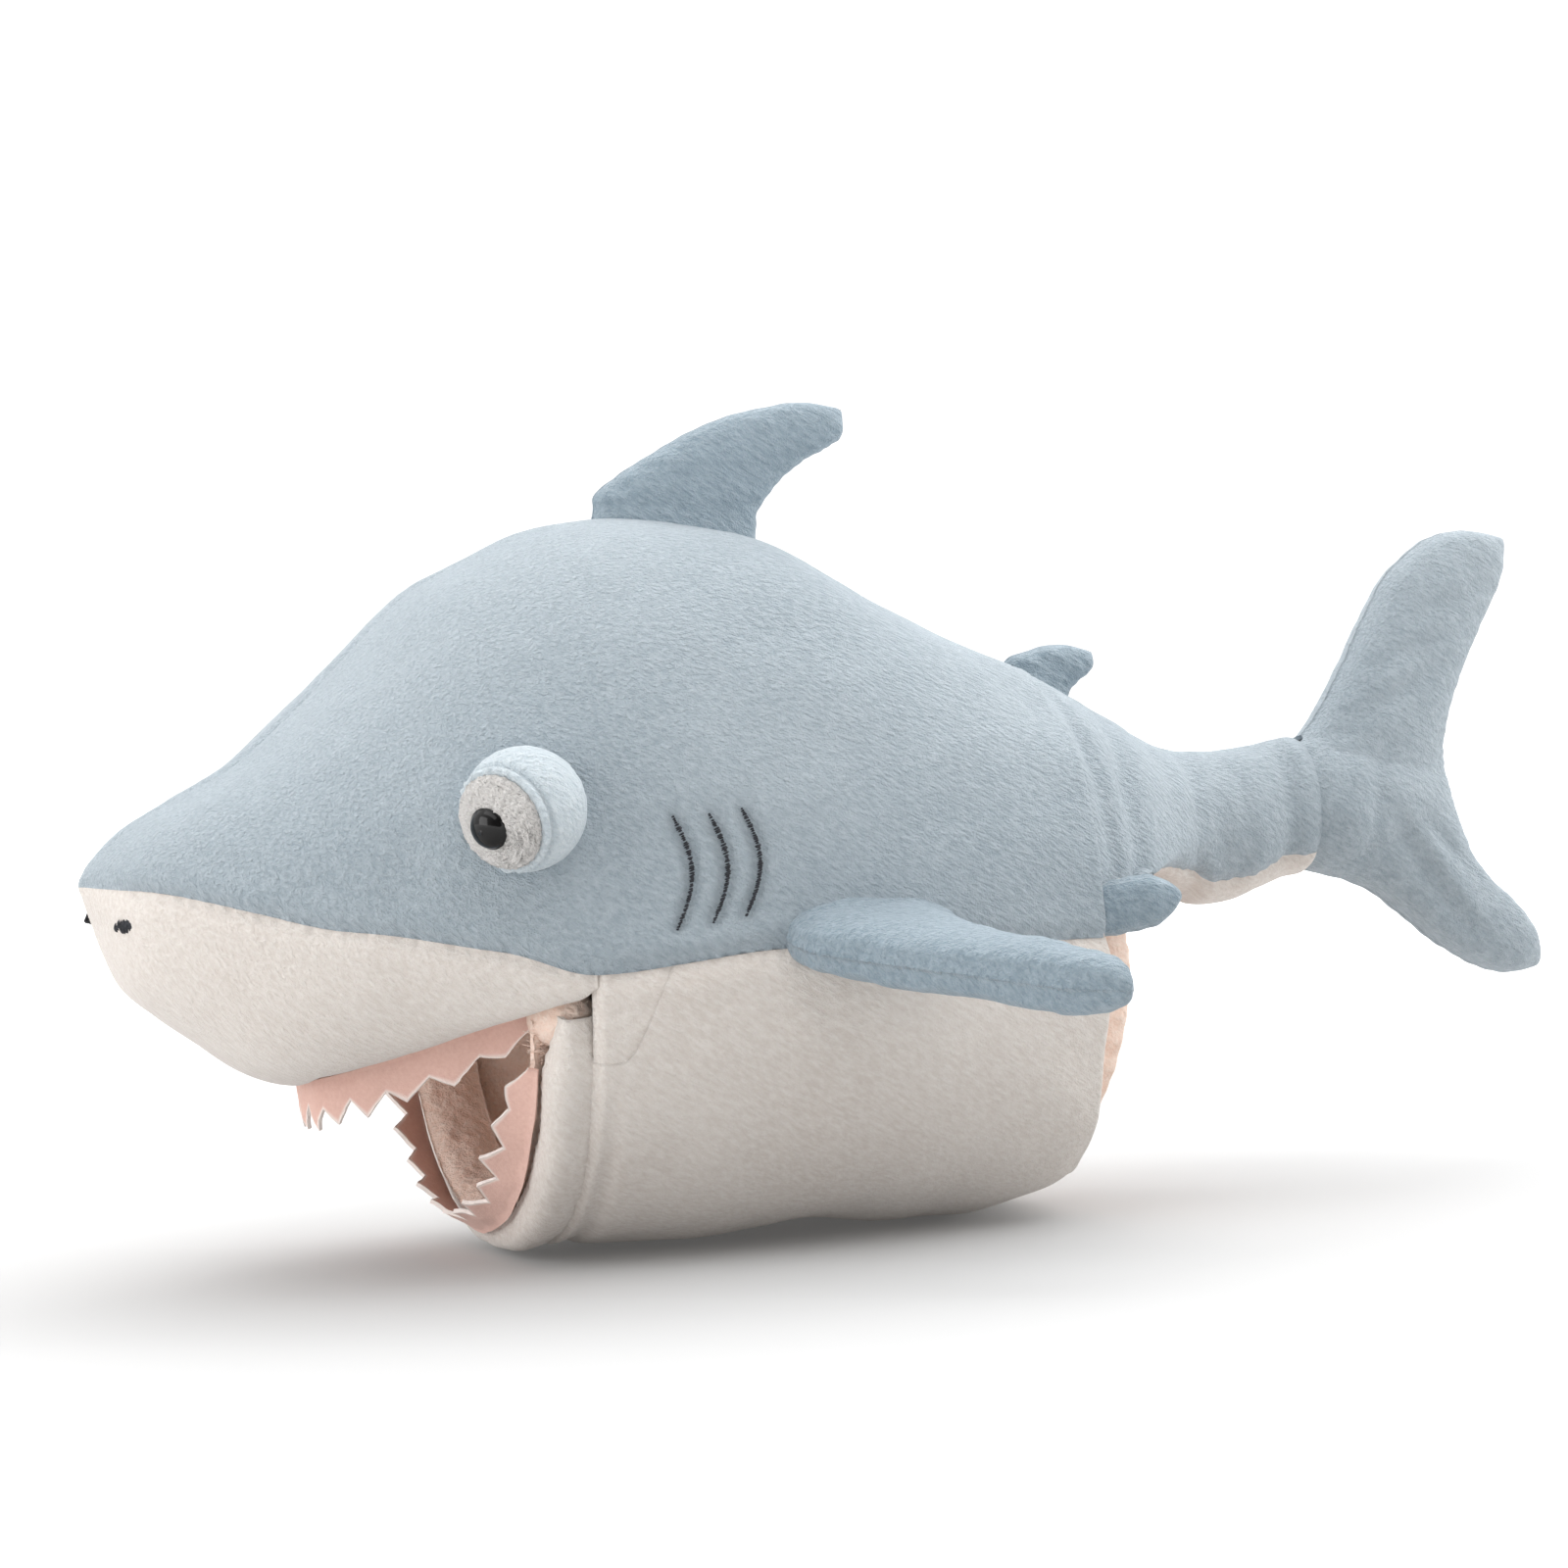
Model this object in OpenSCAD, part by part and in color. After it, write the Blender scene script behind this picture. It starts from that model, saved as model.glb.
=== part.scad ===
// Shark hand puppet: stuffed velour body with an open sleeve for a hand, hanging lower jaw, sprung tail and fins.
// Millimetres. Snout towards -X, tail towards +X, the shark's left is -Y, up is +Z. The belly rests on Z = 0.

/* [Body] */
// Thickness of the velour skin
skin = 2; // [1:0.5:3]
// Thickness of the fleece sleeve
sleeve_wall = 1.8; // [1:0.2:3]
// Roundness of the upper body section (2 is an ellipse)
round_up = 2.2; // [1.8:0.1:3]
// Roundness of the belly section
round_low = 2.3; // [1.8:0.1:3]
// Height of the lowest point of the rest face
rest_z = 0; // [0:0.1:1]

/* [Hand opening] */
// Radius of the cuff opening
cuff_r = 34; // [30:0.5:38]
// Wall of the turned cuff hem
cuff_wall = 3.2; // [2:0.2:5]
// Length of the cuff hem along its axis
cuff_len = 26; // [18:1:32]
// How far the cuff points down
cuff_tilt = 16; // [10:1:20]

/* [Jaw] */
// Height of the jaw's hinge line
jaw_z = 60.5; // [58:0.5:63]
// X of the jaw's hinge line
jaw_x = -85; // [-88:0.5:-82]
// Half thickness of the lip roll
lip_half = 6.5; // [5:0.5:7]
// Depth of the felt band between tooth tips
tooth_root = 6; // [4:0.5:8]
// Depth of the felt band at a tooth tip
tooth_tip = 12; // [9:0.5:14]
// Thickness of the felt
felt = 1.2; // [0.8:0.2:2]

/* [Tail and fins] */
// Gap between a moving piece and its seat
gap = 0.5; // [0.4:0.1:1]
// Radius of the pectoral fin's rounded root
pec_r = 8; // [6:0.5:9]
// Droop of the pectoral fin
pec_droop = 13; // [0:1:25]
// Radius of the dorsal fin's rounded root
dor_r = 6.5; // [5:0.5:8]
// Radius of the pelvic fin's rounded root
pel_r = 4.5; // [3.5:0.5:5.5]

/* [Eyes] */
// Radius of the stuffed eye ball
eye_r = 15.5; // [13:0.5:17]
// Radius of the pupil button
pupil_r = 5; // [4:0.5:6]

/* [Hidden] */

NJ = 36;             // points round a body ring, 0 on the right seam, NJ/4 on the top seam, NJ/2 on the left seam

// ---- smooth curve through a few design stations [position, value] ----
function seg(T, x, i = 0) = (i >= len(T) - 2 || x < T[i + 1][0]) ? i : seg(T, x, i + 1);
function slp(T, i) = i <= 0 ? (T[1][1] - T[0][1]) / (T[1][0] - T[0][0])
    : i >= len(T) - 1 ? (T[i][1] - T[i - 1][1]) / (T[i][0] - T[i - 1][0])
    : (T[i + 1][1] - T[i - 1][1]) / (T[i + 1][0] - T[i - 1][0]);
function spl(T, x) = let (i = seg(T, x), h = T[i + 1][0] - T[i][0], u = min(1, max(0, (x - T[i][0]) / h)),
    a = T[i][1], b = T[i + 1][1], m = slp(T, i) * h, n = slp(T, i + 1) * h)
    a * (2 * u * u * u - 3 * u * u + 1) + m * (u * u * u - 2 * u * u + u) + b * (3 * u * u - 2 * u * u * u) + n * (u * u * u - u * u);
function spw(c, e) = sign(c) * pow(abs(c), 2 / e);

// ---- body lines along X: back ridge, colour seam, underside and half width ----
TOP = [[-190.8, 106], [-186, 111], [-178, 118], [-165, 124.6], [-150, 132.3], [-134, 145], [-118, 159.6], [-102, 173.7], [-88, 181], [-71.5, 187.6], [-51, 190.6], [-29, 188.9], [-6, 183.3], [21, 167.6], [39, 158.2], [60, 148]];
SEAM = [[-190.8, 103.5], [-177, 101.8], [-159, 96.8], [-142, 91.6], [-126, 89], [-108, 85], [-97, 82.5], [-82, 77], [-71, 76.5], [-57, 77.6], [-31, 79.5], [9, 77.7], [37, 76.3], [60, 75.5]];
LOW = [[-190.8, 101], [-187.3, 92], [-184.6, 83.8], [-181, 76], [-173, 68.5], [-165, 62.5], [-153, 53.4], [-142, 49], [-125, 48], [-110, 49], [-95, 48], [-78.001, 40]];
BEL = [[-78, 2.5], [-60, 1], [-42, -1.5], [0, -1.5], [42, -1.5], [54, -0.5], [60, 2]];
WID = [[-190.8, 3.5], [-188, 13], [-184, 22], [-177, 31], [-165, 41], [-150, 50], [-135, 57], [-120, 62], [-105, 67], [-90, 71], [-78, 73], [-60, 75], [-30, 76], [0, 76], [30, 74.5], [60, 71]];
HX = [-190.8, -188.5, -184.5, -178, -169, -158, -147, -138, -127, -116, -104, -92, -84, -78];
TX = [-78, -70, -56, -38, -18, 0, 18, 38, 60];
// the palate rises towards the mouth corner
function palate(x) = 50 + (x + 138) * 21 / 56;
function floor_z(x) = x < -77.99 ? (x < -138 ? -99 : palate(x)) : rest_z;
function low(x) = x < -77.99 ? spl(LOW, x) : spl(BEL, x);
function ring(x, o, head) = let (zs = spl(SEAM, x), tp = spl(TOP, x), lo = head ? spl(LOW, x) : spl(BEL, x),
    w = spl(WID, x), oo = min(o, 0.55 * w), ou = min(o, 0.55 * (tp - zs)), ol = min(o, 0.55 * (zs - lo)), fl = head ? (x < -138 ? -99 : palate(x)) : rest_z)
    [for (j = [0:NJ - 1]) let (t = 360 * j / NJ, c = cos(t), s = sin(t),
        e = s >= 0 ? round_up : round_low,
        y = (w - oo) * spw(c, e),
        z = s >= 0 ? zs + (tp - zs - ou) * spw(s, e) : max(fl + o, zs + (zs - lo - ol) * spw(s, e)),
        lean = (!head && x < -69) ? max(0, jaw_z - z) * 0.105 * (x < -77 ? 1 : 0.5) : 0)
        [x + lean, y, z]];

// ---- the hand's cavity: round and tilted at the cuff, wide and low at the mouth ----
CZ = 50; CX = 66;
cav_r = cuff_r + cuff_wall + 0.2 + sleeve_wall;
function cuff_axis(x) = CZ - (x - CX) * tan(cuff_tilt);
CAVX = 18; // from here back the sleeve is a straight cylinder in line with the cuff
CAVZ = [[-78, 41], [-50, 47], [-20, 55], [0, 60], [CAVX, cuff_axis(CAVX)]];
CAVW = [[-78, 62], [-66, 57], [-50, 52], [-20, 44], [0, 40.6], [CAVX, cav_r]];
CAVH = [[-78, 29.5], [-66, 30], [-50, 31], [-20, 34.5], [0, 38.6], [CAVX, cav_r / cos(cuff_tilt)]];
function cav(x, o) = let (rear = x >= CAVX, zc = rear ? cuff_axis(x) : spl(CAVZ, x),
    w = (rear ? cav_r : spl(CAVW, x)) - o, h = (rear ? cav_r / cos(cuff_tilt) : spl(CAVH, x)) - o / (rear ? cos(cuff_tilt) : 1))
    [for (j = [0:NJ - 1]) let (t = 360 * j / NJ, z = zc + h * sin(t),
        lean = x < -69 ? max(0, jaw_z - z) * 0.105 * (x < -77 ? 1 : 0.5) : 0) [x + lean, w * cos(t), z]];

// ---- rump and tail stalk: rings with an arched or rounded underside ----
RTOP = [[62, 146.5], [75, 140.5], [90, 132], [105, 123], [114, 120.4], [118, 119.8]];
RMID = [[62, 79], [75, 85], [90, 91], [105, 95.6], [118, 98.4]];
RLOW = [[62, 96], [75, 93.5], [90, 89.5], [105, 84.5], [114, 79.2], [118, 77.2]];
RWID = [[62, 62], [75, 54], [90, 43], [105, 30], [114, 23.6], [118, 21.8]];
RX = [62, 70, 80, 90, 100, 110, 118];
function oring(x, w, up, dn, zm, o) = let (oo = min(o, 0.5 * w))
    [for (j = [0:NJ - 1]) let (t = 360 * j / NJ, c = cos(t), s = sin(t))
        [x, (w - oo) * c, s >= 0 ? zm + (up - o) * s : zm + (dn - o) * s]];
function rump_ring(x, o) = let (zm = spl(RMID, x)) oring(x, spl(RWID, x), spl(RTOP, x) - zm, zm - spl(RLOW, x), zm, o);
// seats are spheroids turned about the vertical hinge line: centre x, half width, half height, centre z
SEAT = [129.1, 22, 21.6, 98.4];
FSEAT = [159.3, 18.6, 20.8, 103];
function seat_ring(S, f, o) = [for (j = [0:NJ - 1]) let (t = 360 * j / NJ)
    [S[0] - (S[1] - o) * sqrt(1 - f * f), (S[1] - o) * f * cos(t), S[3] + (S[2] - o) * f * sin(t)]];
STOP = [[129.1, 119.4], [138, 120.3], [146, 121.6], [152, 122]];
SLOW = [[129.1, 77.4], [138, 80.5], [146, 83], [152, 84]];
SWID = [[129.1, 21.5], [138, 19], [146, 17.3], [152, 17]];
SX = [129.1, 136, 142, 147.8];
function stalk_ring(x, o) = let (zm = (spl(STOP, x) + spl(SLOW, x)) / 2) oring(x, spl(SWID, x), spl(STOP, x) - zm, zm - spl(SLOW, x), zm, o);
function stalk_rings(o) = concat([for (f = [0.2, 0.5, 0.75, 0.93]) seat_ring(SEAT, f, gap + o)], [for (x = SX) stalk_ring(x, o)]);

// ---- mesh builders: faces are listed clockwise seen from outside ----
function quads(n, m, b, wrap, flip) = [for (i = [0:n - 2], j = [0:(wrap ? m - 1 : m - 2)], h = [0, 1])
    let (p = b + i * m + j, q = b + i * m + (j + 1) % m, r = p + m, s = q + m,
         f = h == 0 ? [p, r, s] : [p, s, q]) flip ? [f[2], f[1], f[0]] : f];
// an end face in upright strips, each from a point of the ring to its mirror point, so that an arched ring stays open below
function end_strips(m, b, flip) = [for (j = [0:m / 2 - 1], h = [0, 1]) if (h == 0 ? j < m / 2 - 1 : j > 0)
    let (f = h == 0 ? [b + j, b + j + 1, b + m - j - 1] : [b + j, b + m - j - 1, b + m - j]) flip ? [f[2], f[1], f[0]] : f];
module solid_rings(R) {
    n = len(R); m = len(R[0]);
    polyhedron([for (r = R, p = r) p],
        concat(quads(n, m, 0, true, false), end_strips(m, 0, false), end_strips(m, (n - 1) * m, true)), convexity = 6);
}
module ring_wall(O, I) {
    n = len(O); m = len(O[0]); b = n * m;
    polyhedron(concat([for (r = O, p = r) p], [for (r = I, p = r) p]),
        concat(quads(n, m, 0, true, false), quads(n, m, b, true, true),
            [for (j = [0:m - 1], h = [0, 1]) let (k = (j + 1) % m) h == 0 ? [j, k, b + k] : [j, b + k, b + j]],
            [for (j = [0:m - 1], h = [0, 1]) let (k = (j + 1) % m, q = (n - 1) * m) h == 0 ? [q + k, q + j, b + q + j] : [q + k, b + q + j, b + q + k]]), convexity = 8);
}
// a patch of cloth between an outer and an inner grid
module patch(O, I) {
    n = len(O); m = len(O[0]); b = n * m; q = (n - 1) * m;
    polyhedron(concat([for (r = O, p = r) p], [for (r = I, p = r) p]),
        concat(quads(n, m, 0, false, false), quads(n, m, b, false, true),
            [for (i = [0:n - 2], h = [0, 1]) let (p = i * m, r = p + m) h == 0 ? [r, p, b + p] : [r, b + p, b + r]],
            [for (i = [0:n - 2], h = [0, 1]) let (p = i * m + m - 1, r = p + m) h == 0 ? [p, r, b + r] : [p, b + r, b + p]],
            [for (j = [0:m - 2], h = [0, 1]) h == 0 ? [j, j + 1, b + j + 1] : [j, b + j + 1, b + j]],
            [for (j = [0:m - 2], h = [0, 1]) h == 0 ? [q + j + 1, q + j, b + q + j] : [q + j + 1, b + q + j, b + q + j + 1]]), convexity = 8);
}
function cut(R, j0, j1) = [for (r = R) [for (j = [j0:j1]) r[j % NJ]]];

QR = NJ / 4; HF = NJ / 2;
blue = [0.62, 0.70, 0.75]; white = [0.88, 0.86, 0.83]; peach = [0.87, 0.73, 0.65]; pink = [0.84, 0.67, 0.61]; fill = [0.93, 0.93, 0.91];

BO = concat([for (x = HX) ring(x, 0, true)], [for (i = [1:len(TX) - 1]) ring(TX[i], 0, false)]);
BI = concat([for (x = HX) ring(x, skin, true)], [for (i = [1:len(TX) - 1]) ring(TX[i], skin, false)]);
module back_panel_right() { color(blue) patch(cut(BO, 0, QR), cut(BI, 0, QR)); }
module back_panel_left() { color(blue) patch(cut(BO, QR, HF), cut(BI, QR, HF)); }
module snout_panel() { color(white) patch(cut([for (x = HX) ring(x, 0, true)], HF, NJ), cut([for (x = HX) ring(x, skin, true)], HF, NJ)); }
module belly_panel() { color(white) patch(cut([for (x = TX) ring(x, 0, false)], HF, NJ), cut([for (x = TX) ring(x, skin, false)], HF, NJ)); }
module head_stuffing() { color(fill) solid_rings([for (x = HX) ring(x, skin, true)]); }
module body_stuffing() { color(fill) ring_wall([for (x = TX) ring(x, skin, false)], [for (x = TX) cav(x, 0)]); }
module hand_sleeve() { color(peach) ring_wall([for (x = TX) cav(x, 0)], [for (x = TX) cav(x, sleeve_wall)]); }
module rear_hem_panel() { color(peach) ring_wall([for (x = [60, 62]) [for (p = ring(60, 0, false)) [x, p[1], p[2]]]], [for (x = [60, 62]) cav(x, 1.2)]); }
module cuff_hem() {
    color(peach) translate([CX, 0, CZ]) rotate([0, 90 + cuff_tilt, 0]) difference() {
        cylinder(h = cuff_len, r = cuff_r + cuff_wall, center = true, $fn = 96);
        cylinder(h = cuff_len + 2, r = cuff_r, center = true, $fn = 96);
    }
}

// ---- mouth ----
LIPY = [[-138, 9], [-134, 17], [-128, 26], [-118, 36], [-107, 45], [-95, 54], [-84, 62], [-78, 63]];
module palate_lining() {
    color(pink) patch([for (x = [-78, -84, -95, -107, -118, -128, -134, -138]) [for (f = [-1, -0.5, 0, 0.5, 1]) [x, f * spl(LIPY, x), palate(x) - 1.6]]],
                      [for (x = [-78, -84, -95, -107, -118, -128, -134, -138]) [for (f = [-1, -0.5, 0, 0.5, 1]) [x, f * spl(LIPY, x), palate(x) - 0.05]]]);
}
// the felt bands are zigzag strips: even stations are valleys, odd ones tooth tips
LIPX = [[0, -136.9], [9, -136.2], [17, -132.4], [26, -126.2], [36, -116], [45, -105], [54, -93], [61, -83.5]];
module band(n, base, dirn, out) {
    R = [for (k = [0:n]) let (b = base[k], d = dirn[k], w = out[k], L = (k % 2 == 1) ? tooth_tip : tooth_root)
        [b, b + felt * w, b + felt * w + L * d, b + L * d]];
    solid_rings(R);
}
NU = 26;
module upper_teeth() {
    P = [for (k = [0:NU]) let (y = 56 * (-1 + 2 * k / NU), x = spl(LIPX, abs(y))) [x, y, palate(x) - 1.65]];
    W = [for (k = [0:NU]) let (p = P[max(0, k - 1)], q = P[min(NU, k + 1)], t = q - p, l = norm([t[0], t[1]])) [t[1] / l, -t[0] / l, 0]];
    D = [for (w = W) [0.12 * w[0] - 0.15, 0.12 * w[1], -0.98]];
    color(pink) band(NU, P, D, W);
}
// the lower jaw is a U: outer and inner points at angle t below the seam
function jo(t) = [72.3 * spw(cos(t), 2.3), 77 + 75.8 * spw(sin(t), 2.3)];
function ji(t) = [60.5 * spw(cos(t), 2.1), 77 + 65.5 * spw(sin(t), 2.1)];
JT = [for (k = [0:16]) 196 + (344 - 196) * k / 16];
function jsec(t, o) = let (a = jo(t), b = ji(t), m = (a + b) / 2, h = norm(a - b) / 2, d = (a - b) / (2 * h))
    [for (i = [0:11]) let (g = 30 * i, c = spw(cos(g), 2.8), s = spw(sin(g), 2.8), r = m + (h - o) * c * d) [jaw_x + (lip_half - o) * s, r[0], r[1]]];
module jaw_lip_skin() { color(white) ring_wall([for (t = JT) jsec(t, 0)], [for (t = JT) jsec(t, skin)]); }
module jaw_stuffing() { color(fill) solid_rings([for (t = JT) jsec(t, skin)]); }
LT = [for (k = [0:16]) 200 + (340 - 200) * k / 16];
module jaw_lining() {
    color(peach) patch([for (t = LT) let (a = jo(t), b = ji(t), d = (a - b) / norm(a - b), p = b - 0.05 * d) [for (x = [-5.5, 0, 5.5]) [jaw_x + x, p[0], p[1]]]],
                       [for (t = LT) let (a = jo(t), b = ji(t), d = (a - b) / norm(a - b), p = b - 1.8 * d) [for (x = [-5.5, 0, 5.5]) [jaw_x + x, p[0], p[1]]]]);
}
NL = 26;
module lower_teeth() {
    T = [for (k = [0:NL]) 204 + (336 - 204) * k / NL];
    P = [for (t = T) let (a = jo(t), b = ji(t), d = (a - b) / norm(a - b), p = b + 1.0 * d) [jaw_x - lip_half - 0.3, p[0], p[1]]];
    W = [for (t = T) let (a = jo(t), b = ji(t), d = (a - b) / norm(a - b)) [0, d[0], d[1]]];
    D = [for (w = W) [-0.93, -0.36 * w[1], -0.36 * w[2]]];
    color(pink) band(NL, P, D, W);
}

// ---- rump and tail ----
RO = [for (x = RX) rump_ring(x, 0)]; RI = [for (x = RX) rump_ring(x, skin)];
module rump_back() { color(blue) patch(cut(RO, 0, HF), cut(RI, 0, HF)); }
module rump_underside() { color(white) patch(cut(RO, HF, NJ), cut(RI, HF, NJ)); }
module rump_stuffing() {
    color(fill) solid_rings(concat(RI, [for (f = [0.80, 0.68, 0.54, 0.38, 0.22, 0.08]) seat_ring(SEAT, f, 0)]));
}
module tail_stalk_back() { color(blue) patch(cut(stalk_rings(0), 0, HF), cut(stalk_rings(skin), 0, HF)); }
module tail_stalk_underside() { color(white) patch(cut(stalk_rings(0), HF, NJ), cut(stalk_rings(skin), HF, NJ)); }
module tail_stalk_stuffing() { color(fill) solid_rings(concat(stalk_rings(skin), [for (f = [0.74, 0.60, 0.44, 0.27, 0.10]) seat_ring(FSEAT, f, 0)])); }

// ---- fins: pillows on a grid of leading and trailing points with a half thickness ----
function edge(s) = sqrt(max(0, 1 - pow(abs(2 * s - 1), 2.4)));
NS = 8;
function lerp(a, b, s) = a + (b - a) * s;
// place(p, h): puts plane point p with thickness offset h in space
module pillow_side(P, H, side) {
    O = [for (i = [0:len(P) - 1]) [for (j = [0:NS]) let (p = P[i][j]) [p[0], side * H[i][j], p[1]]]];
    I = [for (i = [0:len(P) - 1]) [for (j = [0:NS]) let (p = P[i][j]) [p[0], side * max(0.05, H[i][j] - skin), p[1]]]];
    if (side > 0) patch(O, I); else patch(I, O);
}
module pillow_fill(P, H) {
    patch([for (i = [0:len(P) - 1]) [for (j = [0:NS]) let (p = P[i][j]) [p[0], max(0.05, H[i][j] - skin), p[1]]]],
          [for (i = [0:len(P) - 1]) [for (j = [0:NS]) let (p = P[i][j]) [p[0], -max(0.05, H[i][j] - skin), p[1]]]]);
}
function grid(L, T) = [for (i = [0:len(L) - 1]) [for (j = [0:NS]) lerp(L[i], T[i], 0.5 - 0.5 * cos(180 * j / NS))]];
function se(j) = edge(0.5 - 0.5 * cos(180 * j / NS));
emin = skin + 0.05;

// tail fin
FR = FSEAT[1] - gap - 0.1; FH = FSEAT[2] - gap - 0.1;
function neck_pt(a) = [FSEAT[0] + FR * cos(a), FSEAT[3] + FH * sin(a)];
TL = [[219.5, 178], [208, 178.8], [195, 175.4], [183, 166.5], [174.5, 153.5], [168, 142], [161.5, 131.5], neck_pt(107), neck_pt(130), neck_pt(155), neck_pt(180), neck_pt(205), neck_pt(230), neck_pt(253),
      [165, 80.5], [175, 75.5], [184.7, 67.7], [194.5, 59.8], [205, 53.4], [215, 49.4], [223, 48.2]];
TT = [[223.6, 171], [221, 163.5], [215.5, 154], [211, 146], [206.5, 138], [202.8, 130], [200.8, 124], [199.9, 120], [199.5, 117.5], [199.4, 115], [199.4, 112.5], [199.6, 110], [200, 107.5], [200.6, 105],
      [201.5, 101], [203, 95], [205.6, 88], [210.5, 81], [218.5, 73.5], [226, 64.7], [230.4, 57]];
TH = [4, 7, 9, 10.5, 11.5, 12.2, 12.8, 13.2, 13.4, 13.5, 13.5, 13.5, 13.4, 13.2, 12.8, 12, 11.2, 10.2, 9, 7, 4];
function neck_h(p) = let (dx = p[0] - FSEAT[0], q = 1 - pow((p[1] - FSEAT[3]) / FH, 2) - pow(dx / (dx < 0 ? FR : 42), 2)) FR * sqrt(max(0, q));
TG = grid(TL, TT);
function in_seat(p, h) = p[0] < FSEAT[0] && abs(p[1] - FSEAT[3]) < FH ? min(h, max(emin, neck_h(p))) : h;
TFH = [for (i = [0:len(TG) - 1]) [for (j = [0:NS]) let (p = TG[i][j], end = (i == 0 || i == len(TG) - 1))
    (end || j == 0 || j == NS) ? emin : max(emin, in_seat(p, max(TH[i] * se(j), neck_h(p))))]];
module tail_fin_left() { color(blue) pillow_side(TG, TFH, -1); }
module tail_fin_right() { color(blue) pillow_side(TG, TFH, 1); }
module tail_fin_stuffing() { color(fill) pillow_fill(TG, TFH); }

// dorsal fin: the first rows are the root, rounded about its hinge line
DA = [-49.6, 199.5]; DB = [-2.6, 191.9]; DN = [-0.16, -0.987];
function root_rows(A, B, N, r) = [for (f = [22, 50, 90]) [A + r * cos(f) * N, B + r * cos(f) * N]];
DR = root_rows(DA, DB, DN, dor_r);
DL = concat([for (q = DR) q[0]], [[-44, 202], [-38, 205.6], [-30, 209.8], [-20, 214.6], [-9, 218], [2, 220], [11, 220.9], [18.6, 220.6]]);
DT = concat([for (q = DR) q[1]], [[0, 194.8], [3, 198], [7, 201.5], [12, 204.6], [16.5, 206.6], [20.2, 208.4], [23, 210.8], [24.4, 214.8]]);
DTH = [dor_r * sin(22), dor_r * sin(50), dor_r, dor_r, dor_r, 6.4, 6.3, 6.1, 5.8, 5, 3];
DG = grid(DL, DT);
function fin_h(G, TH, rows) = [for (i = [0:len(G) - 1]) [for (j = [0:NS]) (j == 0 || j == NS || i == len(G) - 1) ? emin : max(emin, TH[i] * se(j))]];
DFH = fin_h(DG, DTH, 3);
module dorsal_fin_left() { color(blue) pillow_side(DG, DFH, -1); }
module dorsal_fin_right() { color(blue) pillow_side(DG, DFH, 1); }
module dorsal_fin_stuffing() { color(fill) pillow_fill(DG, DFH); }

// rear dorsal fin, sewn down
SL = [[66, 148.6], [70, 150], [76, 151.6], [83, 152.2], [89, 151.2]];
ST = [[85.5, 138.2], [87.5, 140], [90.2, 141.8], [93, 143.8], [94.2, 146.5]];
STH = [6, 6, 6, 5.4, 3];
SG = grid(SL, ST); SFH = fin_h(SG, STH, 0);
module rear_dorsal_left() { color(blue) pillow_side(SG, SFH, -1); }
module rear_dorsal_right() { color(blue) pillow_side(SG, SFH, 1); }
module rear_dorsal_stuffing() { color(fill) pillow_fill(SG, SFH); }

// pectoral fin, drawn flat: X along the chord, Z away from the hinge line; then laid out to the side
PA = [-31, 0]; PB = [18, 0];
PR = root_rows(PA, PB, [0, -1], pec_r);
PL = concat([for (q = PR) q[0]], [[-26, 6], [-18, 14], [-8, 23], [3, 33], [14, 43], [23, 50], [31, 54.5]]);
PT = concat([for (q = PR) q[1]], [[20, 7], [24, 14], [29, 22], [34, 30.5], [38.5, 39], [41.5, 46], [43, 51.5]]);
PTH = [pec_r * sin(22), pec_r * sin(50), pec_r, pec_r, pec_r, 8, 7.9, 7.6, 6.6, 4];
PG = grid(PL, PT); PFH = fin_h(PG, PTH, 3);
PEC_Y = 85; PEC_Z = 79.5;
module at_pec(side) { translate([0, side * PEC_Y, PEC_Z]) rotate([side * (-90 - pec_droop), 0, 0]) children(); }
module pectoral_left_top() { color(blue) at_pec(-1) pillow_side(PG, PFH, 1); }
module pectoral_left_under() { color(blue) at_pec(-1) pillow_side(PG, PFH, -1); }
module pectoral_left_stuffing() { color(fill) at_pec(-1) pillow_fill(PG, PFH); }
module pectoral_right_top() { color(blue) at_pec(1) pillow_side(PG, PFH, -1); }
module pectoral_right_under() { color(blue) at_pec(1) pillow_side(PG, PFH, 1); }
module pectoral_right_stuffing() { color(fill) at_pec(1) pillow_fill(PG, PFH); }

// pelvic fin: a small lobe standing on a vertical root at the rear corner of the body
VA = [0, 8]; VB = [0, -8];
VR = [for (f = [35, 90]) [[-pel_r * cos(f), VA[1]], [-pel_r * cos(f), VB[1]]]];
VL = concat([for (q = VR) q[0]], [[7, 8.3], [13, 6], [15.8, 2.2]]);
VT = concat([for (q = VR) q[1]], [[7, -8.3], [13, -6], [15.8, -2.2]]);
VTH = [pel_r * sin(35), pel_r, pel_r, 4.2, 3];
VG = grid(VL, VT); VFH = fin_h(VG, VTH, 3);
PEL = [67.2, 65.4, 83];
module at_pel(side) { translate([PEL[0], side * PEL[1], PEL[2]]) rotate([0, 0, side * 18]) rotate([0, -8, 0]) children(); }
module lobe_side(G, H, side) {
    O = [for (i = [0:len(G) - 1]) [for (j = [0:NS]) let (p = G[i][j]) [p[0], side * H[i][j], p[1]]]];
    I = [for (i = [0:len(G) - 1]) [for (j = [0:NS]) let (p = G[i][j]) [p[0], 0, p[1]]]];
    if (side > 0) patch(O, I); else patch(I, O);
}
module pelvic_left_outer() { color(blue) at_pel(-1) lobe_side(VG, VFH, -1); }
module pelvic_left_inner() { color(blue) at_pel(-1) lobe_side(VG, VFH, 1); }
module pelvic_right_outer() { color(blue) at_pel(1) lobe_side(VG, VFH, 1); }
module pelvic_right_inner() { color(blue) at_pel(1) lobe_side(VG, VFH, -1); }

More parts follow.
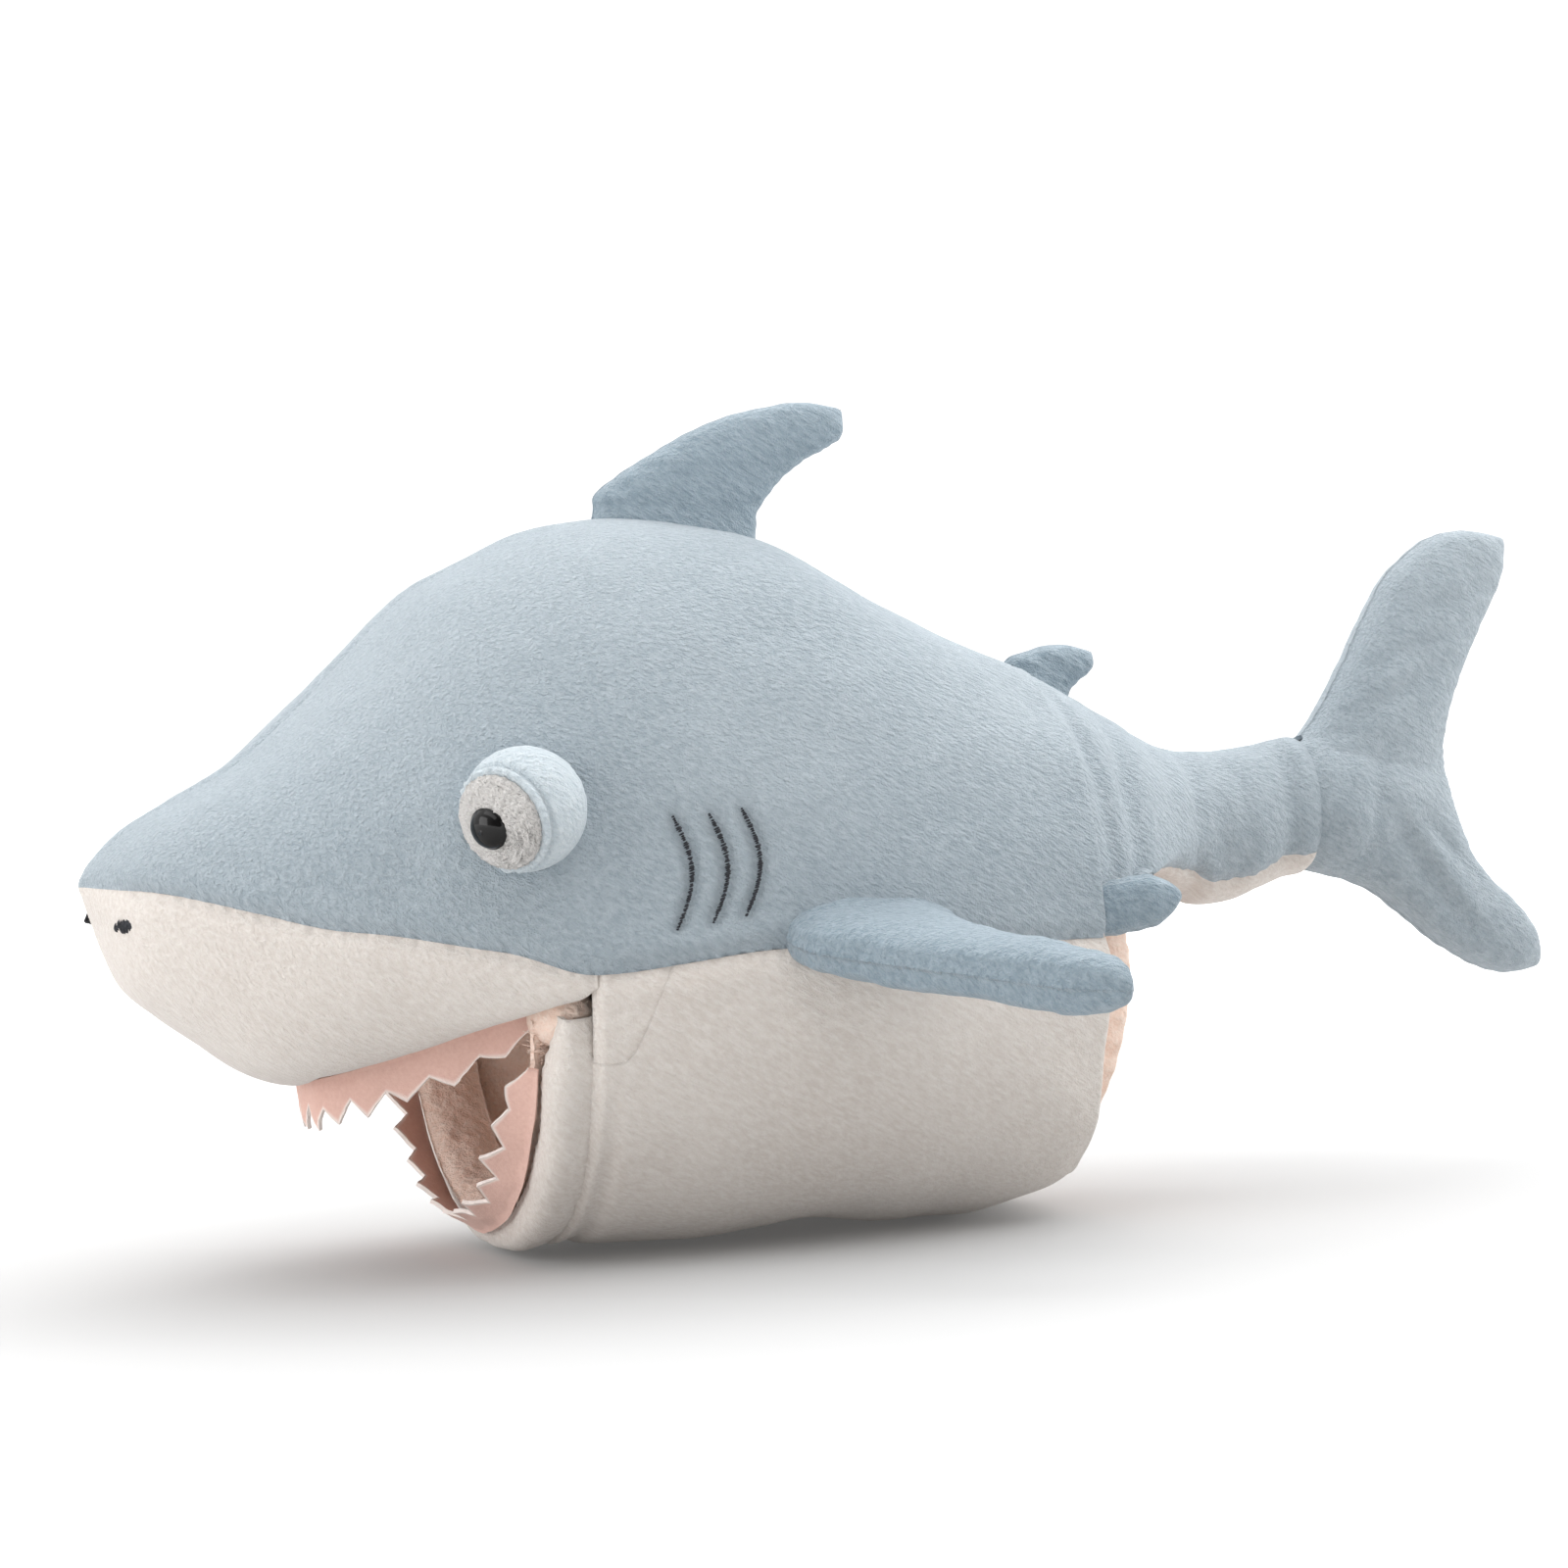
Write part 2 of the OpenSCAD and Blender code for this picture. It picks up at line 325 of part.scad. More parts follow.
// ---- side surface of the body, for what is sewn on it ----
function side_y(x, z) = let (zs = spl(SEAM, x), tp = spl(TOP, x), lo = x < -78 ? spl(LOW, x) : spl(BEL, x), w = spl(WID, x),
    e = z >= zs ? round_up : round_low, q = z >= zs ? (z - zs) / (tp - zs) : (zs - z) / (zs - lo)) w * pow(max(0, 1 - pow(min(1, q), e)), 1 / e);

// ---- eyes ----
EYE = [-93.8, 69.8, 118.6];
NRM = [-0.208, 0.944, 0.255]; LOOK = [-0.80, 0.52, -0.28];
function az(v) = atan2(v[1], v[0]);
function pol(v) = acos(v[2] / norm(v));
module face(v, side) { rotate([0, pol([v[0], side * v[1], v[2]]), az([v[0], side * v[1], v[2]])]) children(); }
module at_eye(side) { translate([EYE[0], side * EYE[1], EYE[2]]) children(); }
cap_a = 56;          // half angle of the white front of the eye
module eye_trim(side) { face(NRM, side) translate([0, 0, -2.4 - 40]) cylinder(h = 40, r = 30, $fn = 48); }
module eye_cone(a) { cylinder(h = 40, r1 = 0, r2 = 40 * tan(a), $fn = 64); }
module eye_cover(side) {
    color([0.80, 0.85, 0.88]) at_eye(side) difference() {
        sphere(r = eye_r, $fn = 64);
        sphere(r = eye_r - 1.8, $fn = 64);
        face(LOOK, side) eye_cone(cap_a);
        eye_trim(side);
    }
}
// a ball inside the cover, with a step that fills the cover's front hole
module eye_white(side) {
    color([0.93, 0.92, 0.90]) at_eye(side) difference() {
        union() {
            sphere(r = eye_r - 1.85, $fn = 64);
            intersection() {
                sphere(r = eye_r - 0.5, $fn = 64);
                face(LOOK, side) translate([0, 0, 4]) cylinder(h = 20, r = (eye_r - 1.85) * sin(cap_a) - 0.15, $fn = 64);
            }
        }
        eye_trim(side);
        face(LOOK, side) translate([0, 0, eye_r - 9]) cylinder(h = 20, r = 2.05, $fn = 32);
        face(LOOK, side) translate([0, 0, eye_r - 1.6]) cylinder(h = 20, r = pupil_r + 0.05, $fn = 48);
    }
}
module pupil(side) {
    color([0.03, 0.03, 0.03]) at_eye(side) face(LOOK, side) rotate_extrude($fn = 48)
        polygon(concat([[0, eye_r - 8.8], [2, eye_r - 8.8], [2, eye_r - 1.55], [pupil_r, eye_r - 1.55], [pupil_r, eye_r - 0.9]],
            [for (a = [15:15:75]) [pupil_r * cos(a), eye_r - 0.9 + 3 * sin(a)]], [[0, eye_r + 2.1]]));
}
module eye_cover_left() { eye_cover(-1); }
module eye_white_left() { eye_white(-1); }
module pupil_left() { pupil(-1); }
module eye_cover_right() { eye_cover(1); }
module eye_white_right() { eye_white(1); }
module pupil_right() { pupil(1); }

// ---- embroidery ----
// one gill slit: a flat cord bowed towards the tail, from z1 down to z0
module gill(side, x0, z1, z0) {
    n = 8;
    R = [for (k = [0:n]) let (u = k / n, z = lerp(z1, z0, u), x = x0 + 4.2 * sin(180 * u) - 1.2 * u, y = side_y(x, z), h = 1.0 * (k == 0 || k == n ? 0.5 : 1))
        [for (i = [0:4]) let (g = 72 * i) [x + h * cos(g), side * (y + 0.75 + 0.6 * sin(g)), z]]];
    color([0.06, 0.07, 0.10]) if (side > 0) solid_rings([for (i = [n:-1:0]) [for (j = [4:-1:0]) R[i][j]]]); else solid_rings([for (i = [n:-1:0]) R[i]]);
}
module gill_stitch_left_1() { gill(-1, -56, 114.5, 86.5); }
module gill_stitch_left_2() { gill(-1, -46.6, 114.6, 87.6); }
module gill_stitch_left_3() { gill(-1, -38, 115.4, 88.6); }
module gill_stitch_right_1() { gill(1, -56, 114.5, 86.5); }
module gill_stitch_right_2() { gill(1, -46.6, 114.6, 87.6); }
module gill_stitch_right_3() { gill(1, -38, 115.4, 88.6); }
NOS = [-183.3, 21.5, 94]; NOSN = [-0.62, 0.74, -0.26];
module nostril(side) {
    color([0.07, 0.06, 0.06]) translate([NOS[0], side * NOS[1], NOS[2]]) face(NOSN, side) translate([0, 0, 1.6]) rotate([0, 0, 90]) scale([1, 0.62, 1]) cylinder(h = 1.2, r1 = 4.2, r2 = 3.6, $fn = 24);
}
module nostril_stitch_left() { nostril(-1); }
module nostril_stitch_right() { nostril(1); }

back_panel_left();
back_panel_right();
snout_panel();
belly_panel();
head_stuffing();
body_stuffing();
hand_sleeve();
rear_hem_panel();
cuff_hem();
palate_lining();
upper_teeth();
jaw_lip_skin();
jaw_stuffing();
jaw_lining();
lower_teeth();
rump_back();
rump_underside();
rump_stuffing();
tail_stalk_back();
tail_stalk_underside();
tail_stalk_stuffing();
tail_fin_left();
tail_fin_right();
tail_fin_stuffing();
dorsal_fin_left();
dorsal_fin_right();
dorsal_fin_stuffing();
rear_dorsal_left();
rear_dorsal_right();
rear_dorsal_stuffing();
pectoral_left_top();
pectoral_left_under();
pectoral_left_stuffing();
pectoral_right_top();
pectoral_right_under();
pectoral_right_stuffing();
pelvic_left_outer();
pelvic_left_inner();
pelvic_right_outer();
pelvic_right_inner();
eye_cover_left();
eye_white_left();
pupil_left();
eye_cover_right();
eye_white_right();
pupil_right();
gill_stitch_left_1();
gill_stitch_left_2();
gill_stitch_left_3();
gill_stitch_right_1();
gill_stitch_right_2();
gill_stitch_right_3();
nostril_stitch_left();
nostril_stitch_right();
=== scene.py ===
# %% [markdown]
# # A stuffed shark hand puppet
# The real toy is sewn from flat pieces of short velour, blue above and white below, turned right
# side out and filled with polyester fibre. A fleece sleeve runs through it for the hand, and felt
# strips cut in a zigzag make the teeth. Every piece here is one of those cloth pieces, worked out
# as a surface of two parameters, and it sits where the puppet's own solid model says.
# The first step loads that solid model, so that each cloth piece can ride on its moving part.

# %% Load the frame
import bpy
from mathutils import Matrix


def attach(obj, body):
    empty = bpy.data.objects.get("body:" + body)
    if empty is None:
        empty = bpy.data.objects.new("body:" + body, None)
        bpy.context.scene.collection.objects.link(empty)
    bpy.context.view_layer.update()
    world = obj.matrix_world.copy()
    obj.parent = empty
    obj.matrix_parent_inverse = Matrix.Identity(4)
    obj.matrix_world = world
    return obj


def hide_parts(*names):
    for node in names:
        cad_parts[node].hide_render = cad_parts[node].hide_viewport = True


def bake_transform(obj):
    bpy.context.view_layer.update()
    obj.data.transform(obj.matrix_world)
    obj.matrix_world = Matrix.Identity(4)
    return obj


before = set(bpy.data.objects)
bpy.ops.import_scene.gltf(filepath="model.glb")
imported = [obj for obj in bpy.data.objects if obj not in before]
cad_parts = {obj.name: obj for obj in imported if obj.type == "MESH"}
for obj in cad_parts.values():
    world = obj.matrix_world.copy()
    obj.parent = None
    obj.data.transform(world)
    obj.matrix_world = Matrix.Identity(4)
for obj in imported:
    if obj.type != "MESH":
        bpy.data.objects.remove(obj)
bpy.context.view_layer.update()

import math

import bmesh
import bpy
import numpy as np
from mathutils import Matrix

MM, TURN = 0.001, 6.28

# %% [markdown]
# ## The camera
# The toy is looked at from its left, a little in front, from the height of its eyes. The camera
# is made first, because everything else is judged through it. It is turned slightly about its
# own line of sight, so that the shark's nose dips a touch.

# %% Place the camera
VIEW_AZIMUTH, VIEW_RISE, VIEW_ROLL = math.radians(-20), math.radians(2), math.radians(3)
VIEW_DISTANCE = 1.170
VIEW_TARGET = np.array([0, 0, 0.118])


def place_camera():
    """The camera's three axes: back points from the target to the lens, right is level, and up is
    square to both; then right and up turn by the roll."""
    back = np.array([math.sin(VIEW_AZIMUTH) * math.cos(VIEW_RISE),
        -math.cos(VIEW_AZIMUTH) * math.cos(VIEW_RISE), math.sin(VIEW_RISE)])
    right = np.array([math.cos(VIEW_AZIMUTH), math.sin(VIEW_AZIMUTH), 0])
    up = np.cross(back, right)
    lens = bpy.data.cameras.new("studio_camera")
    lens.lens, lens.sensor_width = 100, 36
    lens.clip_start, lens.clip_end = 0.05, 30
    camera = bpy.data.objects.new("studio_camera", lens)
    pose = np.eye(4)
    pose[:3, 0] = math.cos(VIEW_ROLL) * right - math.sin(VIEW_ROLL) * up
    pose[:3, 1] = math.sin(VIEW_ROLL) * right + math.cos(VIEW_ROLL) * up
    pose[:3, 2] = back
    pose[:3, 3] = VIEW_TARGET + VIEW_DISTANCE * back
    camera.matrix_world = Matrix(pose.tolist())
    bpy.context.collection.objects.link(camera)
    bpy.context.scene.camera = camera
    return camera


camera = place_camera()
bpy.context.scene.view_settings.view_transform = "Standard"
print("camera stands at", [round(v, 3) for v in camera.matrix_world.translation])

# %% [markdown]
# ## Curves and waves
# A pattern cutter draws a toy as a few outline curves: the back, the colour seam, the belly, the
# half width. The same few stations are kept here, and a smooth curve runs through them. Cloth is
# never perfectly even, so a sum of long soft waves stands for the way the filling sits.

# %% Curve helpers


def design_curve(stations, x):
    """A smooth curve through [place, value] stations: each stretch is the cubic that leaves a station
    at the slope of the line between its two neighbours."""
    table = np.asarray(stations, float)
    at, value = table[:, 0], table[:, 1]
    slope = np.empty_like(value)
    slope[1:-1] = (value[2:] - value[:-2]) / (at[2:] - at[:-2])
    slope[0] = (value[1] - value[0]) / (at[1] - at[0])
    slope[-1] = (value[-1] - value[-2]) / (at[-1] - at[-2])
    x = np.asarray(x, float)
    i = np.clip(np.searchsorted(at, x, side="right") - 1, 0, len(at) - 2)
    h = at[i + 1] - at[i]
    u = np.clip((x - at[i]) / h, 0, 1)
    return (value[i] * (2 * u**3 - 3 * u**2 + 1) + slope[i] * h * (u**3 - 2 * u**2 + u)
            + value[i + 1] * (3 * u**2 - 2 * u**3) + slope[i + 1] * h * (u**3 - u**2))


def rounded(c, e):
    """The sign of c times its size to the power 2 over e, which turns a circle's cosine into a squarer
    section's."""
    return np.sign(c) * np.abs(c) ** (2 / e)


def ease(a, b, x):
    """0 before a, 1 after b, and an S between them."""
    t = np.clip((np.asarray(x, float) - a) / (b - a), 0, 1)
    return t * t * (3 - 2 * t)


def hill(x, at, width):
    """A bell of height 1 at a place: e to minus the square of the distance over the width."""
    return np.exp(-(((x - at) / width) ** 2))


def soft_max(a, b, reach):
    """The larger of a and b, with the corner between them rounded over reach."""
    return np.maximum(a, b) + np.maximum(reach - np.abs(a - b), 0) ** 2 / (4 * reach)


def wander(u, v, seed, size, octaves=3):
    """Soft unevenness of about -1 to 1: plane waves in random directions, each octave half as long and
    half as strong as the last."""
    draw = np.random.default_rng(seed)
    total = 0.0
    for octave in range(octaves):
        for turn, rate, phase in draw.uniform([0, 0.7, 0], [TURN, 1.3, TURN], (4, 3)):
            wave = TURN * rate * 2**octave / size
            total = total + 0.5**octave * np.sin(wave * (u * math.cos(turn) + v * math.sin(turn)) + phase)
    return total / 4


# %% [markdown]
# ## From a grid of points to a piece of cloth
# Each piece starts as a grid of points, rows along the body and columns across. It is given a
# thickness inwards along its own normals, and its rim is closed, so that it is a real piece of
# cloth and not a sheet of paper. Working on whole arrays keeps this quick.

# %% Cloth helpers


def grid_normals(grid, inside):
    """The direction out of the cloth at each grid point: the cross product of the directions along the
    rows and the columns, turned away from the inside point."""
    normal = np.cross(np.gradient(grid, axis=0), np.gradient(grid, axis=1))
    size = np.linalg.norm(normal, axis=-1, keepdims=True)
    flat = size[..., 0] < 1e-7
    normal = normal / np.maximum(size, 1e-12)
    if np.sum(normal * (grid - inside)) < 0:
        normal = -normal
    away = grid - inside
    normal[flat] = (away / np.linalg.norm(away, axis=-1, keepdims=True))[flat]
    return normal


def grid_quads(rows, cols):
    """The four corner numbers of every cell of a grid."""
    i, j = np.meshgrid(np.arange(rows - 1), np.arange(cols - 1), indexing="ij")
    a = (i * cols + j).ravel()
    return np.stack([a, a + cols, a + cols + 1, a + 1], -1)


def rim_numbers(rows, cols):
    """The point numbers once round the edge of a grid."""
    first, last = np.arange(cols), np.arange(cols) + (rows - 1) * cols
    left, right = np.arange(rows) * cols, np.arange(rows) * cols + cols - 1
    return np.concatenate([first[:-1], right[:-1], last[::-1][:-1], left[::-1][:-1]])


def make_mesh(name, points, faces, finish, flat_from=None, marks=None):
    """A mesh from points in millimetres and faces of four corners; faces from flat_from on are flat,
    so that a cut edge stays crisp. marks are extra values for each point."""
    mesh = bpy.data.meshes.new(name)
    points = np.asarray(points, float).reshape(-1, 3) * MM
    faces = np.asarray(faces, np.int32)
    mesh.vertices.add(len(points))
    mesh.vertices.foreach_set("co", points.astype(np.float32).ravel())
    mesh.loops.add(faces.size)
    mesh.loops.foreach_set("vertex_index", faces.ravel())
    mesh.polygons.add(len(faces))
    mesh.polygons.foreach_set("loop_start", np.arange(len(faces), dtype=np.int32) * 4)
    smooth = np.ones(len(faces), bool)
    if flat_from is not None:
        smooth[flat_from:] = False
    mesh.polygons.foreach_set("use_smooth", smooth)
    for mark, values in (marks or {}).items():
        mesh.attributes.new(mark, "FLOAT", "POINT").data.foreach_set("value",
            np.asarray(values, np.float32).ravel())
    mesh.update(calc_edges=True)
    joined = bmesh.new()
    joined.from_mesh(mesh)
    bmesh.ops.remove_doubles(joined, verts=joined.verts, dist=2e-6)
    joined.to_mesh(mesh)
    joined.free()
    mesh.validate()
    mesh.materials.append(finish)
    piece = bpy.data.objects.new(name, mesh)
    bpy.context.collection.objects.link(piece)
    return piece


def sew(name, grid, finish, inside, thick=1.6, marks=None):
    """A piece of cloth: the grid is its outer face, the same grid moved in along its normals is its
    inner face, and strips close the rim between them."""
    rows, cols = grid.shape[:2]
    normal = grid_normals(grid, np.asarray(inside, float))
    inner = grid - thick * normal
    outer_faces = grid_quads(rows, cols)
    r, c = rows // 2, cols // 2
    facing = np.cross(grid[r + 1, c] - grid[r, c], grid[r, c + 1] - grid[r, c])
    if np.dot(facing, normal[r, c]) < 0:
        outer_faces = outer_faces[:, ::-1]
        rim = rim_numbers(rows, cols)
    else:
        rim = rim_numbers(rows, cols)[::-1]
    count = rows * cols
    after = np.roll(rim, -1)
    rim_faces = np.stack([rim, after, after + count, rim + count], -1)
    faces = np.concatenate([outer_faces, outer_faces[:, ::-1] + count, rim_faces])
    both = {mark: np.concatenate([values.ravel(), values.ravel()]) for mark, values in (marks or {}).items()}
    return make_mesh(name, np.concatenate([grid.reshape(-1, 3), inner.reshape(-1, 3)]), faces, finish,
        flat_from=2 * len(outer_faces), marks=both)


def along(grid, axis):
    """The distance travelled over the cloth from the first row (axis 0) or column (axis 1), in millimetres."""
    step = np.linalg.norm(np.diff(grid, axis=axis), axis=-1)
    start = np.zeros_like(np.take(step, [0], axis=axis))
    return np.cumsum(np.concatenate([start, step], axis=axis), axis=axis)


def seam_dip(distance, run, depth=1.2, width=2.0, pitch=4.4):
    """How the cloth sinks into a seam: a bell-shaped groove that is deeper at each stitch, and a low
    swelling beside it where the filling pushes back."""
    stitch = 1 + 0.22 * np.sin(TURN * run / pitch) + 0.12 * np.sin(TURN * run / (2.7 * pitch) + 1)
    return -depth * stitch * hill(distance, 0, width) + 0.3 * depth * hill(distance, 2.6 * width, 1.5 * width)


print("helpers ready")

# %% [markdown]
# ## Velour
# Velour is a knit with a short dense pile that lies one way. Close up it is a field of fine
# slanting streaks, paler where the tips catch light, and a hand leaves broad patches where the
# pile lies differently. One shared group draws the streaks, the fibre tips and the patches as a
# colour and a height. Each material then has its own colours and its own soft sheen.

# %% Node helpers


def colour(red, green, blue):
    """A colour given from 0 to 255, as the light values that the shader wants."""
    values = np.array([red, green, blue]) / 255
    return tuple(np.where(values <= 0.04045, values / 12.92, ((values + 0.055) / 1.055) ** 2.4)) + (1.0,)


def node(tree, kind, inputs=None, **settings):
    """A new node in a tree: settings are its own options, and inputs are the values or links of its
    sockets, by number or name."""
    made = tree.nodes.new(kind)
    for key, value in settings.items():
        setattr(made, key, value)
    for key, value in (inputs or {}).items():
        if isinstance(value, bpy.types.NodeSocket):
            tree.links.new(value, made.inputs[key])
        else:
            made.inputs[key].default_value = value
    return made


def noise(tree, vector, scale, detail=2.0, rough=0.5):
    """Smooth noise of so many features a metre."""
    return node(tree, "ShaderNodeTexNoise",
        {"Vector": vector, "Scale": scale, "Detail": detail, "Roughness": rough}).outputs["Fac"]


def stretch(tree, value, low, high, to_low=0.0, to_high=1.0):
    """Spreads the part of a value from low to high over a new range, and holds it there."""
    return node(tree, "ShaderNodeMapRange", {0: value, 1: low, 2: high, 3: to_low, 4: to_high}).outputs[0]


def mix(tree, share, one, two):
    """One colour turning into another as share goes from 0 to 1."""
    return node(tree, "ShaderNodeMix", {0: share, 6: one, 7: two}, data_type="RGBA").outputs[2]


def maths(tree, operation, one, two):
    """Two values added, multiplied or whatever the operation says."""
    return node(tree, "ShaderNodeMath", {0: one, 1: two}, operation=operation).outputs[0]


def new_group(name, sockets_in, sockets_out):
    """An empty node group with named inputs and outputs."""
    tree = bpy.data.node_groups.new(name, "ShaderNodeTree")
    for label, kind, value in sockets_in:
        made = tree.interface.new_socket(label, in_out="INPUT", socket_type="NodeSocket" + kind)
        made.default_value = value
    for label, kind in sockets_out:
        tree.interface.new_socket(label, in_out="OUTPUT", socket_type="NodeSocket" + kind)
    return tree, tree.nodes.new("NodeGroupInput").outputs, tree.nodes.new("NodeGroupOutput").inputs


# %% The pile group


def make_pile_group():
    """Pile: streaks are noise squeezed along the lie of the pile, tips are finer noise, patches are
    broad noise. The colour goes from deep to ground to tip with them, and the height is their sum."""
    grey = (0.5, 0.5, 0.5, 1)
    tree, given, result = new_group("velour_pile", [
        ("Ground", "Color", grey), ("Deep", "Color", grey), ("Tip", "Color", grey),
        ("Streak rate", "Float", 1000.0), ("Tip rate", "Float", 2400.0), ("Patch rate", "Float", 16.0)],
        [("Color", "Color"), ("Height", "Float")])
    place = node(tree, "ShaderNodeTexCoord").outputs["Object"]
    lie = node(tree, "ShaderNodeMapping", {0: place, 2: (0.15, 0.55, 0.2), 3: (3.2, 1.0, 1.0)},
        vector_type="TEXTURE").outputs[0]
    streak = stretch(tree, noise(tree, lie, given["Streak rate"], 2.0, 0.6), 0.32, 0.68)
    tips = stretch(tree, noise(tree, place, given["Tip rate"], 1.5, 0.6), 0.3, 0.7)
    patch = stretch(tree, noise(tree, place, given["Patch rate"], 3.0, 0.55), 0.3, 0.7)
    body = mix(tree, patch, given["Deep"], given["Ground"])
    pale = maths(tree, "MULTIPLY", streak, 0.55)
    streaked = mix(tree, pale, body, given["Tip"])
    dark = maths(tree, "MULTIPLY", maths(tree, "SUBTRACT", 1.0, tips), 0.30)
    tree.links.new(mix(tree, dark, streaked, given["Deep"]), result["Color"])
    height = maths(tree, "ADD", maths(tree, "MULTIPLY", streak, 0.65), maths(tree, "MULTIPLY", tips, 0.35))
    tree.links.new(height, result["Height"])
    return tree


pile_group = make_pile_group()


def new_finish(name, values):
    """A new material with plain values set on its shader."""
    finish = bpy.data.materials.new(name)
    finish.use_nodes = True
    shader = finish.node_tree.nodes["Principled BSDF"]
    for label, value in values.items():
        shader.inputs[label].default_value = value
    return finish, finish.node_tree, shader


def feed(tree, shader, color, height, strength, distance):
    """Links a colour to the shader, and a height as relief."""
    tree.links.new(color, shader.inputs["Base Color"])
    relief = node(tree, "ShaderNodeBump", {"Strength": strength, "Distance": distance, "Height": height})
    tree.links.new(relief.outputs[0], shader.inputs["Normal"])


def make_velour(name, ground, deep, tip, streak=1000.0, relief=0.9):
    """A velour of three colours: the pile group feeds colour and relief, and the sheen is the same all over."""
    finish, tree, shader = new_finish(name, {
        "Roughness": 0.95, "Specular IOR Level": 0.12, "Sheen Weight": 0.3, "Sheen Roughness": 0.45})
    pile = node(tree, "ShaderNodeGroup", {
        "Ground": ground, "Deep": deep, "Tip": tip, "Streak rate": streak}, node_tree=pile_group).outputs
    feed(tree, shader, pile["Color"], pile["Height"], relief, 0.0008)
    return finish


blue_velour = make_velour("blue_velour", colour(170, 181, 189), colour(152, 165, 174), colour(200, 209, 215))
# A darker copy of the blue velour for the fins, which are the same blue cloth: its darker colours are painted
# shade.
shaded_fin_velour = make_velour("shaded_fin_velour", colour(152, 168, 179), colour(130, 148, 160), colour(188, 201, 210),
    streak=900.0)
white_velour = make_velour("white_velour", colour(224, 216, 209), colour(210, 200, 192), colour(242, 238, 233),
    relief=0.55)
lid_velour = make_velour("lid_velour", colour(206, 216, 222), colour(188, 201, 209), colour(232, 238, 241))
eye_velour = make_velour("eye_velour", colour(232, 229, 226), colour(214, 209, 205), colour(248, 247, 245),
    streak=1300.0, relief=1.0)
print("velours:", [m.name for m in (blue_velour, shaded_fin_velour, white_velour, lid_velour, eye_velour)])

# %% [markdown]
# ## Fleece, felt, thread and the glossy button
# The sleeve and the cuff are brushed fleece, nubby and warm. The teeth are thin felt, flat pink
# with a paler line where the scissors cut it, which the mesh marks with a value of its own. The
# gills and nostrils are satin thread, and the pupils are polished plastic buttons.

# %% Make the other finishes


def make_fleece(name, ground, deep, tip):
    """Fleece: round nubs from two sizes of noise, pale on top and deeper between."""
    finish, tree, shader = new_finish(name, {
        "Roughness": 1.0, "Specular IOR Level": 0.05, "Sheen Weight": 0.3, "Sheen Roughness": 0.5})
    place = node(tree, "ShaderNodeTexCoord").outputs["Object"]
    nubs = stretch(tree, noise(tree, place, 620.0, 3.0, 0.65), 0.3, 0.7)
    broad = stretch(tree, noise(tree, place, 60.0, 2.0), 0.3, 0.7)
    body = mix(tree, broad, deep, ground)
    feed(tree, shader, mix(tree, maths(tree, "MULTIPLY", nubs, 0.6), body, tip), nubs, 0.5, 0.001)
    return finish


def make_felt(name, ground, deep, edge):
    """Felt: matted fibres in every direction, with the cut edge paler where the mesh's cut value is near 1."""
    finish, tree, shader = new_finish(name, {"Roughness": 0.9, "Specular IOR Level": 0.2, "Sheen Weight": 0.15})
    place = node(tree, "ShaderNodeTexCoord").outputs["Object"]
    matted = stretch(tree, noise(tree, place, 900.0, 4.0, 0.7), 0.3, 0.7)
    cut = node(tree, "ShaderNodeAttribute", attribute_name="cut").outputs["Fac"]
    body = mix(tree, matted, deep, ground)
    feed(tree, shader, mix(tree, cut, body, edge), matted, 0.35, 0.0004)
    return finish


def make_plain(name, base, rough, coat=0.0, strand_sheen=0.0, gloss=0.5):
    """Thread or polished plastic: one colour, with painted sheen as fine paler strands where strand_sheen is
    above 0.
    """
    finish, tree, shader = new_finish(name, {
        "Coat Weight": coat, "Coat Roughness": 0.03, "Specular IOR Level": gloss})
    place = node(tree, "ShaderNodeTexCoord").outputs["Object"]
    fine = stretch(tree, noise(tree, place, 1400.0 if strand_sheen else 220.0, 2.0), 0.35, 0.65)
    # Painted sheen: a paler copy of the colour, mixed in by the strand noise.
    painted_sheen_colour = tuple(min(1.0, v * (1 + 3 * strand_sheen) + 0.03 * strand_sheen + 0.002) for v in base[:3]) + (1.0,)
    tree.links.new(mix(tree, fine, base, painted_sheen_colour), shader.inputs["Base Color"])
    tree.links.new(stretch(tree, fine, 0.0, 1.0, rough, rough + 0.06 + 0.2 * strand_sheen),
        shader.inputs["Roughness"])
    return finish


peach_fleece = make_fleece("peach_fleece", colour(248, 224, 208), colour(240, 208, 190), colour(253, 240, 230))
pink_felt = make_felt("pink_felt", colour(232, 194, 181), colour(222, 180, 167), colour(250, 240, 234))
black_thread = make_plain("black_thread", colour(16, 18, 24), 0.5, strand_sheen=0.6)
button_black = make_plain("button_black", colour(7, 6, 6), 0.06, coat=0.1, gloss=0.3)
print("finishes ready")

# %% [markdown]
# ## The shark's outlines
# Four outlines set the whole body: the back seen from the side, the colour seam, the underside
# and the half width seen from above. The section at any place is a slightly squared ellipse
# between them. Angle 0 is the right seam, 90 the back, 180 the left seam and 270 the belly.
# The palate is a slanting flat roof that cuts the head's section off from below.

